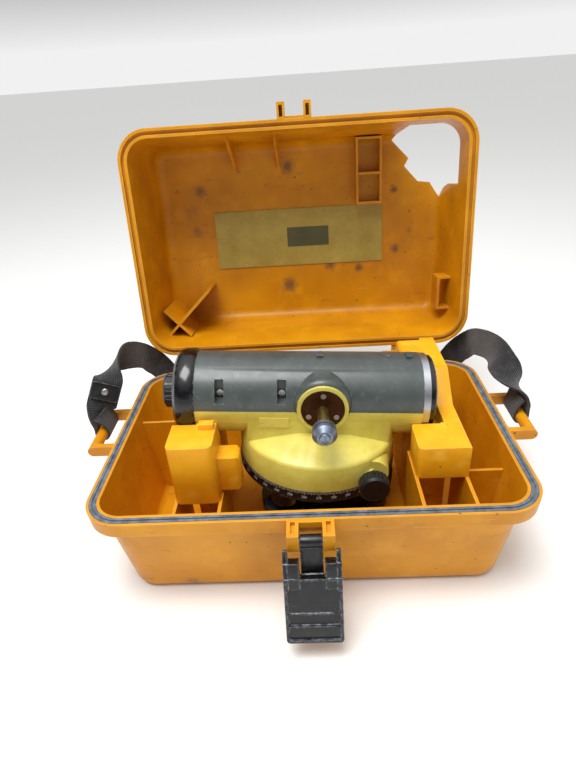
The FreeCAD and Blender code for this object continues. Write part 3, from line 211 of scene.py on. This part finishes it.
# glass-filled nylon: black, glossy where handled, rubbed grey-white along edges and in scratches
def wornNylon(name, colour, worn, roughness, wear=0.8, wearMm=1.6):
    material, tree, shader, place = newMaterial(name, colour, roughness)
    rub = calc(tree, "MULTIPLY", edgeMask(tree, wearMm), ranged(tree, noiseAt(tree, place, 3, 5, 0.75), 0.42, 0.6))
    lines = ranged(tree, noiseAt(tree, place, 0.9, 2, 0.5, (0.12, 1, 0.8), (5, 1, 1)), 0.66, 0.74, 0, 0.6)
    area = ranged(tree, noiseAt(tree, place, 14, 3, shift=(1, 6, 3)), 0.5, 0.66, 0, 0.5)
    marks = calc(tree, "MAXIMUM", calc(tree, "MULTIPLY", rub, wear), calc(tree, "MULTIPLY", lines, area))
    tree.links.new(tinted(tree, marks, colour, worn), shader.inputs["Base Color"])
    tree.links.new(ranged(tree, noiseAt(tree, place, 7, 4), 0.3, 0.7, roughness - 0.08, roughness + 0.18),
                   shader.inputs["Roughness"])
    bumped(tree, shader, noiseAt(tree, place, 0.5, 2), 0.2, 0.05, 0.35)
    return material


def rubberCord():  # extruded neoprene: matt slate grey with a bloom of dust
    material, tree, shader, place = newMaterial("neopreneRubber", "#5E6873", 0.62)
    bloom = noiseAt(tree, place, 7, 4, 0.65)
    tone = tinted(tree, ranged(tree, bloom, 0.35, 0.7), "#454E59", "#79828C")
    tree.links.new(tone, shader.inputs["Base Color"])
    bumped(tree, shader, noiseAt(tree, place, 0.8, 3), 0.3, 0.08)
    return material


def opticalGlass():  # coated optical glass: clear with a faint green-blue coating
    material, tree, shader, place = newMaterial("coatedOpticalGlass", "#DDEBEA", 0.04, ior=1.52)
    shader.inputs["Transmission Weight"].default_value = 0.9
    haze = noiseAt(tree, place, 5, 3)
    tree.links.new(tinted(tree, ranged(tree, haze, 0.3, 0.8), "#E6F1F0", "#CFE2E0"), shader.inputs["Base Color"])
    return material


def labelFilm(name, colour, faded, dirt):  # printed vinyl sheet, sun-faded, with grime along scratches
    material, tree, shader, place = newMaterial(name, colour, 0.5)
    fade = tinted(tree, ranged(tree, noiseAt(tree, place, 26, 4), 0.3, 0.7), colour, faded)
    grime = ranged(tree, noiseAt(tree, place, 3, 6, 0.75), 0.55, 0.8, 0, 0.5)
    lines = ranged(tree, noiseAt(tree, place, 1.2, 2, 0.5, (0.1, 1, 1), (1, 1, 5)), 0.64, 0.72, 0, 0.35)
    marked = tinted(tree, calc(tree, "MAXIMUM", grime, lines), fade, dirt)
    tree.links.new(marked, shader.inputs["Base Color"])
    bumped(tree, shader, noiseAt(tree, place, 2, 3), 0.15, 0.1)
    return material


def webbingCloth():  # woven polypropylene webbing: rib every 1.3 mm across a 25 mm band, fuzzy and dusty
    material, tree, shader, place = newMaterial("polypropyleneWebbing", "#25262A", 0.85)
    uv = addNode(tree, "ShaderNodeUVMap", uv_map="webbing").outputs[0]
    split = addNode(tree, "ShaderNodeSeparateXYZ", {0: uv})
    across, along = split.outputs[0], split.outputs[1]
    ribs = calc(tree, "SINE", calc(tree, "MULTIPLY", along, 2 * math.pi / (1.3 * mm)))
    warps = calc(tree, "SINE", calc(tree, "MULTIPLY", across, 2 * math.pi / (1.8 * mm)))
    weave = calc(tree, "MULTIPLY", calc(tree, "ADD", ribs, 1.0), calc(tree, "ADD", warps, 1.0))
    dust = noiseAt(tree, place, 6, 5, 0.7)
    tone = tinted(tree, ranged(tree, weave, 0.0, 4.0), "#17181B", "#3A3B40")
    tone = tinted(tree, ranged(tree, dust, 0.5, 0.8, 0, 0.45), tone, "#6D6A66")
    tree.links.new(tone, shader.inputs["Base Color"])
    shader.inputs["Sheen Weight"].default_value = 0.3
    bumped(tree, shader, weave, 0.6, 0.25)
    return material


def plainPaint(name, colour, roughness):  # filled engraving: flat paint that has worn a little
    material, tree, shader, place = newMaterial(name, colour, roughness)
    wear = ranged(tree, noiseAt(tree, place, 1.5, 3), 0.35, 0.75)
    tree.links.new(tinted(tree, wear, colour, "#8C8C86"), shader.inputs["Base Color"])
    return material


hinge = next(j for j in frame["joints"] if j["name"] == "lid_hinge")
hingePoint = Vector(hinge["pos_m"])
lidAngle = math.radians(abs(hinge["range_deg"][0]))
alongLid = Vector((0, -math.cos(lidAngle), math.sin(lidAngle)))
outOfLid = Vector((0, math.sin(lidAngle), math.cos(lidAngle)))


# a place on the open lid: along from the hinge, depth outwards from its rim, in mm
def onLid(x, along, depth):
    return hingePoint + Vector((x, 0, 0)) * mm + alongLid * along * mm + outOfLid * depth * mm


lidSpots = [tuple(onLid(*p)) + (r * mm,) for p, r in (
    ((-10, 178, 78), 9), ((-100, 160, 76), 8), ((-112, 140, 70), 11), ((-108, 120, 76), 7), ((-14, 60, 78), 11),
    ((30, 78, 78), 7), ((98, 92, 78), 6), ((118, 60, 70), 9), ((-60, 176, 76), 4), ((96, 150, 78), 5),
    ((-124, 178, 60), 6), ((60, 74, 78), 6), ((112, 110, 76), 5))]
tubSpots = [(-0.125, -0.075, 0.012, 0.010), (-0.09, -0.079, 0.008, 0.008), (0.09, 0.02, 0.006, 0.012)]
insideLook = dict(plasticLook, colour="#DA9608", deep="#BC7A04", bleached="#E9A414")
cradleLook = dict(plasticLook, colour="#F8B41C", deep="#E89C12", bleached="#FFD050", patchMm=30)
materials = {
    "orange_plastic": casePlastic("orangePolyethylene", plasticLook, tubSpots),
    "lid_plastic": casePlastic("orangePolyethyleneLid", insideLook, lidSpots, 0.6),
    "yellow_plastic": casePlastic("amberPolyethylene", cradleLook, (), 0.35),
    "grey_rubber": rubberCord(),
    "steel": metal("turnedSteel", "#B4B4B2", "#7C7A76", 0.32),
    "black_webbing": webbingCloth(),
    "black_plastic": wornNylon("blackNylon", "#0A0A0D", "#A6ADB8", 0.28, 0.9, 1.3),
    "knob_plastic": wornNylon("blackPhenolic", "#101116", "#6E7480", 0.3, 0.35, 0.8),
    "label_film": labelFilm("fadedVinyl", "#A08C38", "#B5A24C", "#5E5228"),
    "serial_film": labelFilm("yellowVinyl", "#D8C250", "#E2D070", "#8A7C3A"),
    "label_window": labelFilm("greyGreenFilm", "#4A4A28", "#5A5A38", "#2E2E1C"),
    "yellow_enamel": enamel("yellowEnamel", "#E0D468", "#CFBF50", 0.33, "#9A9468", 0.5, "#8E7F3C", 0.35),
    "olive_enamel": enamel("oliveEnamel", "#4A5150", "#3C4341", 0.36, "#C8CCC8", 0.8, "#8A8F84", 0.25),
    "black_enamel": enamel("blackEnamel", "#0B0C10", "#07080A", 0.16, "#B9BEC6", 0.7, "#4A4D55", 0.25),
    "satin_aluminium": metal("satinAluminium", "#B9BCC0", "#8A8E92", 0.34),
    "optical_glass": opticalGlass(),
    "grey_metal": metal("greyAnodised", "#8E98A8", "#5A6270", 0.42, tarnish=0.5),
    "brass": metal("turnedBrass", "#B59A5C", "#7A6436", 0.36, tarnish=0.6),
    "bronze": metal("patinatedBronze", "#4A3020", "#2C1B12", 0.42, tarnish=0.8),
    "white_paint": plainPaint("whiteFilling", "#D8D8D2", 0.5),
}
print("materials made:", len(materials))

# ---- every CAD node gets its finish ----
bodyOf = {node: body for body, nodes in frame["record"]["behaviour"]["bodies"].items() for node in nodes}
slotOf = {row["node"]: row["material_slot"] for row in frame["record"]["subparts"]}
finishOf = dict(slotOf, lid_shell="lid_plastic", lid_pocket="lid_plastic", blank_plate="serial_film",
                tangent_knobs="knob_plastic", foot_screw_1="knob_plastic", foot_screw_2="knob_plastic",
                foot_screw_3="knob_plastic", eyepiece_knob="knob_plastic", focus_collar="grey_metal",
                focus_end_screw="grey_metal")


def dress(piece, finish):
    piece.data.materials.clear()
    piece.data.materials.append(materials[finish])


for node, obj in frame["nodes"].items():
    dress(obj, finishOf[node])


def link(mesh, name):
    obj = bpy.data.objects.new(name, mesh)
    scene.collection.objects.link(obj)
    return obj


def place(piece, body, finish, slot, *replaced):
    dress(piece, finish)
    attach(piece, body)
    if replaced:
        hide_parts(*replaced)
    return piece


def sharpen(work, angleDegrees):  # smooth faces, with hard edges kept where the surface turns sharply
    for face in work.faces:
        face.smooth = True
    for edge in work.edges:
        turn = edge.calc_face_angle(math.pi) if len(edge.link_faces) == 2 else math.pi
        edge.smooth = turn < math.radians(angleDegrees)


def finished(work, name, angleDegrees=34):
    sharpen(work, angleDegrees)
    mesh = bpy.data.meshes.new(name)
    work.to_mesh(mesh)
    work.free()
    return link(mesh, name)


def rounded(work, radiusMm, lowDegrees=40):  # rounds the outward edges that turn by more than lowDegrees
    edges = [e for e in work.edges if len(e.link_faces) == 2 and e.is_convex
             and e.calc_face_angle(0) > math.radians(lowDegrees)]
    bmesh.ops.bevel(work, geom=edges, offset=radiusMm * mm, segments=3, profile=0.5, affect="EDGES", material=-1,
                    clamp_overlap=True)


# a smooth-shaded copy of a CAD node, its loose triangles merged into clean faces
def refined(node, name, angleDegrees=34):
    work = bmesh.new()
    work.from_mesh(frame["nodes"][node].data)
    bmesh.ops.remove_doubles(work, verts=work.verts, dist=0.004 * mm)
    bmesh.ops.dissolve_limit(work, angle_limit=math.radians(0.4), verts=work.verts, edges=work.edges,
                             delimit={"NORMAL"})
    if node in softened:
        rounded(work, softened[node])
    return place(finished(work, name, angleDegrees), bodyOf[node], finishOf[node], slotOf[node], node)


softened = {"eyepiece_cradle": 1.3, "objective_cradle": 1.3, "latch_link": 0.4, "strap_buckle": 0.4}  # mm
smoothNodes = ["case_tub", "case_partitions", "eyepiece_cradle", "objective_cradle", "strap_lug_left",
               "strap_lug_right", "lid_shell", "lid_pocket", "latch_link", "main_housing",
               "telescope_cover", "eyepiece_end_ring", "objective_ring", "objective_hood", "eyepiece_knob",
               "focus_flange", "focus_shaft", "focus_collar", "focus_end_screw", "tangent_knobs", "tribrach",
               "base_plate", "foot_screw_1", "foot_screw_2", "foot_screw_3", "bubble_case", "strap_buckle",
               "rim_gasket", "horizontal_circle", "aiming_sights", "hinge_pins", "latch_pin", "cover_screws",
               "flange_screws", "blank_plate", "instruction_plate", "plate_window", "base_seat", "buckle_rivet"]
for node in smoothNodes:
    refined(node, "fine_" + node)
print("cad pieces refined:", len(smoothNodes))

# ---- latch lever: a rimmed tray with two cheeks and side arms, drawn straight down and swung out ----
lever = {"half": 18.5, "pinY": -112.4, "pinZ": 78.1, "linkPinZ": 53.1, "back": -116.6, "front": -122.4, "tip": 10.6,
         "top": 57.0, "rim": 2.0, "recess": 2.3, "ridgeZ": 31.0, "bandZ": 23.0, "hang": 17.0, "cheekInner": 8.3,
         "armInner": 15.7, "barrelRadius": 4.0, "cornerRadius": 2.4, "edgeRadius": 0.45}


def addBox(work, low, high):
    verts = bmesh.ops.create_cube(work, size=1)["verts"]
    for vert in verts:
        vert.co = Vector([(low[k] + high[k]) / 2 + vert.co[k] * (high[k] - low[k]) for k in range(3)]) * mm
    return verts


def addSidePlate(work, outline, x0, x1):  # a plate with an outline of (y, z) points, x0 to x1 thick
    face = work.faces.new([work.verts.new(Vector((x0, y, z)) * mm) for y, z in outline])
    moved = bmesh.ops.extrude_face_region(work, geom=[face])["geom"]
    bmesh.ops.translate(work, verts=[v for v in moved if isinstance(v, bmesh.types.BMVert)],
                        vec=((x1 - x0) * mm, 0, 0))


def makeLever():
    work = bmesh.new()
    half, front, back, tip, top = (lever[k] for k in ("half", "front", "back", "tip", "top"))
    addBox(work, (-half, front, tip), (half, back, top))
    corners = [e for e in work.edges if all(v.co.z < (tip + 1) * mm for v in e.verts)
               and abs(e.verts[0].co.y - e.verts[1].co.y) > mm]
    bmesh.ops.bevel(work, geom=corners, offset=lever["cornerRadius"] * mm, segments=4, profile=0.5,
                    affect="EDGES", material=-1)
    facing = min(work.faces, key=lambda f: f.calc_center_median().y)
    bmesh.ops.inset_region(work, faces=[facing], thickness=lever["rim"] * mm)
    dropped = bmesh.ops.extrude_discrete_faces(work, faces=[facing])["faces"]
    bmesh.ops.translate(work, verts=dropped[0].verts, vec=(0, lever["recess"] * mm, 0))
    floorY = front + lever["recess"]
    inner = half - lever["rim"]
    addBox(work, (-inner, floorY - 0.8, lever["ridgeZ"] - 0.5), (inner, floorY + 0.5, lever["ridgeZ"] + 0.5))
    addSidePlate(work, [(floorY + 0.5, tip + 1.6), (floorY + 0.5, lever["bandZ"]),
                        (front + 0.5, lever["bandZ"] - 0.4), (front + 1.5, tip + 1.6)], -inner, inner)
    for side in (-1, 1):
        near, far = sorted((side * lever["cheekInner"], side * half))
        addBox(work, (near, front + 0.9, top - 8), (far, lever["pinY"] - 1.4, lever["linkPinZ"] + 14.2))
        low, high = sorted((side * lever["armInner"], side * half))
        addSidePlate(work, [(front, top - 9), (front + 1.2, top + 10), (front + 5, top + 17.5),
                            (lever["pinY"] + 1, top + 15), (lever["pinY"] + 3.2, top),
                            (lever["pinY"] + 3.2, top - 7), (back, top - 10)], low, high)
        radius = lever["barrelRadius"] * mm
        barrel = bmesh.ops.create_cone(work, cap_ends=True, segments=28, radius1=radius, radius2=radius,
                                       depth=(half - lever["cheekInner"]) * mm)
        bmesh.ops.rotate(work, verts=barrel["verts"], cent=(0, 0, 0), matrix=Matrix.Rotation(math.pi / 2, 3, "Y"))
        middle = Vector((side * (half + lever["cheekInner"]) / 2, lever["pinY"], lever["linkPinZ"])) * mm
        bmesh.ops.translate(work, verts=barrel["verts"], vec=middle)
    bmesh.ops.recalc_face_normals(work, faces=work.faces)
    rounded(work, lever["edgeRadius"], 50)
    pin = Vector((0, lever["pinY"], lever["pinZ"])) * mm
    swing = Matrix.Rotation(math.radians(-lever["hang"]), 4, "X")
    work.transform(Matrix.Translation(pin) @ swing @ Matrix.Translation(-pin))
    return place(finished(work, "lever_tray"), "latch_lever", "black_plastic", "black_plastic", "latch_lever")


makeLever()
print("latch lever made")

# ---- the level's own frame, for pieces drawn on it ----
turn = next(j for j in frame["joints"] if j["name"] == "base_turn")
levelOrigin = Vector(turn["pos_m"])
levelUp = Vector(turn["axis"]).normalized()
levelAlong = Vector((levelUp.z, 0, -levelUp.x))
levelMatrix = Matrix((levelAlong, Vector((0, 1, 0)), levelUp)).transposed().to_4x4()
levelMatrix.translation = levelOrigin

# ---- graduated circle: ticks and numbers on the sloping edge ----
scale = {"edgeRadius": 62.3, "topRadius": 61.0, "low": 2.4, "high": 8.6, "ticks": 360, "numberEvery": 10,
         "tickWidth": 0.22, "lift": 0.06, "numberHeight": 2.0, "long": 2.6, "middle": 2.0, "short": 1.4}


def onScale(up, lift=0.0):  # radius and height on the sloping scale, up from its lower edge, in mm
    share = up / (scale["high"] - scale["low"])
    radius = scale["edgeRadius"] - 0.3 + (scale["topRadius"] - scale["edgeRadius"] + 0.3) * share
    return (radius + lift) * mm, (scale["low"] + up) * mm


def makeScaleTicks():
    work = bmesh.new()
    span = scale["high"] - scale["low"]
    for step in range(scale["ticks"]):
        length = scale["long"] if step % 10 == 0 else scale["middle"] if step % 5 == 0 else scale["short"]
        half = scale["tickWidth"] * mm / 2
        ring = bmesh.ops.create_grid(work, x_segments=1, y_segments=1, size=0.5)["verts"]
        radiusTop, heightTop = onScale(span - 0.1, scale["lift"])
        radiusLow, heightLow = onScale(span - 0.1 - length, scale["lift"])
        for vert in ring:
            top = vert.co.y > 0
            vert.co = Vector((radiusTop if top else radiusLow, math.copysign(half, vert.co.x),
                              heightTop if top else heightLow))
        bmesh.ops.rotate(work, verts=ring, cent=(0, 0, 0),
                         matrix=Matrix.Rotation(math.radians(step * 360 / scale["ticks"]), 3, "Z"))
    bmesh.ops.solidify(work, geom=work.faces[:], thickness=0.05 * mm)
    bmesh.ops.recalc_face_normals(work, faces=work.faces)
    work.transform(levelMatrix)
    return place(finished(work, "scale_ticks"), "circle", "white_paint", "label_film")


def makeScaleNumbers():  # dial numbers round the scale, each bent onto its slope
    work = bmesh.new()
    for value in range(0, 360, scale["numberEvery"]):
        curve = bpy.data.curves.new("number", "FONT")
        curve.body = str(value)
        curve.size = scale["numberHeight"] * mm * 1.35
        curve.align_x = "CENTER"
        holder = link(curve, "number")
        mesh = bpy.data.meshes.new_from_object(holder)
        angle = math.radians(value)
        for vert in mesh.vertices:
            radius, height = onScale(1.1 + vert.co.y / mm, scale["lift"])
            around = angle + vert.co.x / radius
            vert.co = Vector((radius * math.cos(around), radius * math.sin(around), height))
        work.from_mesh(mesh)
        bpy.data.objects.remove(holder)
    work.transform(levelMatrix)
    return place(finished(work, "scale_numbers"), "circle", "white_paint", "label_film")


makeScaleTicks()
makeScaleNumbers()
print("circle graduated")

# ---- shoulder strap: one band of webbing through listed stations ----
strap = {"width": 25.0, "thick": 1.8, "halfDepth": 101.8, "lugX": 177.0, "lugZ": 73.7, "loopY": 31.5, "turn": 5.7,
         "across": 10, "finer": 4}
backY = strap["halfDepth"] + 17.0
groundZ = strap["width"] / 2 + 0.2


def strapLoop(side, lean):  # tucked tail, then round the lug bar and up its outer face
    lugX, lugZ, y, turn = strap["lugX"], strap["lugZ"], strap["loopY"], strap["turn"]
    stations = [((side * (lugX - 1.2), y - 1.3, lugZ + 17.5), (side * -lean, 1, 0)),
                ((side * (lugX - 3.8), y - 0.4, lugZ + 9.5), (0, 1, 0)), ((side * (lugX - turn), y, lugZ), (0, 1, 0))]
    for step in range(1, 7):
        angle = math.radians(180 + 30 * step)
        stations.append(((side * (lugX + math.cos(angle) * turn), y, lugZ + math.sin(angle) * turn), (0, 1, 0)))
    return stations


leftRise = [((-182.5, strap["loopY"], 79), (0, 1, 0)), ((-181.2, 31.9, 85), (0.35, 0.94, 0)),
            ((-179, 32.6, 90.5), (0.72, 0.7, 0)), ((-176.8, 34.5, 96), (0.93, 0.36, 0)),
            ((-173.4, 38.5, 105), (0.94, 0.34, 0)),
            ((-170.2, 42.5, 113.5), (0.95, 0.3, 0)), ((-170.5, 51, 118.5), (0.85, -0.15, 0.5)),
            ((-168, 63, 121), (0.5, -0.1, 0.85)), ((-164, 78, 118), (0.15, 0.2, 0.95)),
            ((-161, 94, 111), (0, 0.4, 0.9)), ((-160, 108, 103), (0, 0.5, 0.86)),
            ((-158.5, 120, 94), (0.15, 0.5, 0.86)), ((-150, 129, 78), (0.6, 0.1, 0.75)),
            ((-140, 129.5, 62), (0.85, 0, 0.53)), ((-130, 129, 46), (0.85, 0, 0.53)),
            ((-117, backY + 3, 30), (0.75, 0, 0.65)), ((-101, backY + 2, groundZ + 1.5), (0.46, 0, 0.88))]
rightRise = [((182.5, strap["loopY"], 79), (0, 1, 0)), ((181.4, 31.8, 85), (-0.1, 1, 0)),
             ((178.2, 33, 92), (-0.1, 1, 0.1)),
             ((172, 38, 101), (0.5, 0.8, 0.4)), ((166, 49, 109.5), (0.6, 0.2, 0.75)),
             ((164.5, 62, 113.5), (0.35, 0, 0.93)), ((162.5, 77, 112), (0.1, 0.15, 0.97)),
             ((160.5, 93, 107), (0, 0.35, 0.93)), ((160, 107, 101), (0, 0.5, 0.86)),
             ((158.5, 119, 93), (-0.15, 0.5, 0.86)), ((150, 129, 78), (-0.6, 0.1, 0.75)),
             ((140, 129.5, 62), (-0.85, 0, 0.53)), ((130, 129, 46), (-0.85, 0, 0.53)),
             ((117, backY + 3, 30), (-0.75, 0, 0.65)), ((101, backY + 2, groundZ + 1.5), (-0.46, 0, 0.88))]
groundRun = [((x, backY + bow, groundZ), (0, 0, 1)) for x, bow in ((-84, 5), (-45, 8), (0, 7), (45, 5), (84, 4))]


# Catmull-Rom curve through the stations, its across direction square to the run
def smoothStations(route, finer):
    points = [Vector(place) for place, across in route]
    ways = []
    for i, (place, across) in enumerate(route):
        along = points[min(i + 1, len(points) - 1)] - points[max(i - 1, 0)]
        across = Vector(across)
        across = (across - along * (across.dot(along) / along.length_squared)).normalized()
        ways.append(-across if ways and across.dot(ways[-1]) < 0 else across)
    out = []
    for i in range(len(points) - 1):
        for part in range(finer):
            t = part / finer
            pair = []
            for v in (points, ways):
                a, b, c, d = v[max(i - 1, 0)], v[i], v[i + 1], v[min(i + 2, len(v) - 1)]
                pair.append(0.5 * (2 * b + (c - a) * t + (2 * a - 5 * b + 4 * c - d) * t * t
                                   + (3 * b - a - 3 * c + d) * t ** 3))
            out.append((pair[0], pair[1].normalized()))
    out.append((points[-1], ways[-1]))
    return out


def makeStrap():
    route = strapLoop(-1, 0.5) + leftRise + groundRun + (strapLoop(1, 0.1) + rightRise)[::-1]
    stations = smoothStations(route, strap["finer"])
    half = strap["width"] / 2
    work = bmesh.new()
    uvLayer = work.loops.layers.uv.new("webbing")
    centre, across = stations[0]
    steps = strap["across"]
    row = [work.verts.new((centre + across * (half * (2 * k / steps - 1))) * mm) for k in range(steps + 1)]
    for a, b in zip(row, row[1:]):
        work.edges.new((a, b))
    front = work.edges[:]
    length = 0.0
    lengths = [0.0]
    for (last, _), (centre, across) in zip(stations, stations[1:]):
        length += (centre - last).length
        lengths.append(length)
        moved = bmesh.ops.extrude_edge_only(work, edges=front)["geom"]
        row = [v for v in moved if isinstance(v, bmesh.types.BMVert)]
        front = [e for e in moved if isinstance(e, bmesh.types.BMEdge)]
        row.sort(key=lambda v: (v.co / mm - last).dot(stations[len(lengths) - 2][1]))
        for k, vert in enumerate(row):
            vert.co = (centre + across * (half * (2 * k / steps - 1))) * mm
    work.verts.index_update()
    for face in work.faces:
        for loop in face.loops:
            rank, k = divmod(loop.vert.index, steps + 1)
            loop[uvLayer].uv = (k / steps * strap["width"] * mm, lengths[rank] * mm)
    bmesh.ops.recalc_face_normals(work, faces=work.faces)
    piece = finished(work, "shoulder_strap_webbing", 60)
    thicken = piece.modifiers.new("thickness", "SOLIDIFY")
    thicken.thickness = (strap["thick"] - 0.3) * mm
    thicken.offset = 0
    place(piece, "case", "black_webbing", "black_webbing", "shoulder_strap")
    return length


strapLength = makeStrap()
print("strap made, mm long:", round(strapLength))

# ---- studio ----
studio = {"keyWatts": 15.0, "keyAt": (-0.2, -0.28, 1.3), "keySize": 0.7, "fillWatts": 0.3,
          "fillAt": (0.9, -0.7, 0.6), "fillSize": 1.0, "dome": 0.13, "overhead": 1.4, "horizon": 0.75,
          "floorHalf": 30.0, "floorColour": "#F8F8F6", "floorRoughness": 0.9}


def areaLight(name, location, target, size, watts):
    lamp = bpy.data.lights.new(name, "AREA")
    lamp.energy = watts
    lamp.size = size
    obj = bpy.data.objects.new(name, lamp)
    obj.location = location
    obj.rotation_euler = (Vector(target) - Vector(location)).to_track_quat("-Z", "Y").to_euler()
    scene.collection.objects.link(obj)


areaLight("key", studio["keyAt"], (0, 0.02, 0.1), studio["keySize"], studio["keyWatts"])
areaLight("fill", studio["fillAt"], (0, 0, 0.1), studio["fillSize"], studio["fillWatts"])
world = bpy.data.worlds.new("studio")  # a dome, brightest overhead and pale at its horizon
scene.world = world
world.use_nodes = True
worldTree = world.node_tree
skyward = addNode(worldTree, "ShaderNodeTexCoord").outputs["Generated"]
height = addNode(worldTree, "ShaderNodeSeparateXYZ", {0: skyward})
worldTree.nodes["Background"].inputs[0].default_value = (1, 1, 1, 1)
overhead = ranged(worldTree, height.outputs[2], 0.45, 1.0, studio["dome"], studio["overhead"])
horizon = ranged(worldTree, height.outputs[2], 0.2, 0.04, 0.0, studio["horizon"])
worldTree.links.new(calc(worldTree, "ADD", overhead, horizon), worldTree.nodes["Background"].inputs[1])

floorWork = bmesh.new()
bmesh.ops.create_grid(floorWork, x_segments=1, y_segments=1, size=studio["floorHalf"])
bmesh.ops.translate(floorWork, verts=floorWork.verts, vec=(0, 0, cadLow[2] - 0.0002))
floor = finished(floorWork, "floor")
floor.data.materials.append(newMaterial("paleFloor", studio["floorColour"], studio["floorRoughness"])[0])

# ---- camera ----
view = {"at": (0.005426, -0.351354, 0.335572), "right": (0.99793056, 0.01649743, -0.06214852),
        "up": (0.04497259, 0.51172482, 0.85797155), "focalMm": 25.03}
cameraData = bpy.data.cameras.new("camera")
cameraData.sensor_width = 36
cameraData.lens = view["focalMm"]
cameraData.clip_start = 0.02
camera = bpy.data.objects.new("camera", cameraData)
right, up = Vector(view["right"]), Vector(view["up"])
turnMatrix = Matrix((right, up, right.cross(up))).transposed().to_4x4()
turnMatrix.translation = Vector(view["at"])
camera.matrix_world = turnMatrix
scene.collection.objects.link(camera)
scene.camera = camera
scene.view_settings.view_transform = "Standard"

print("scene complete")
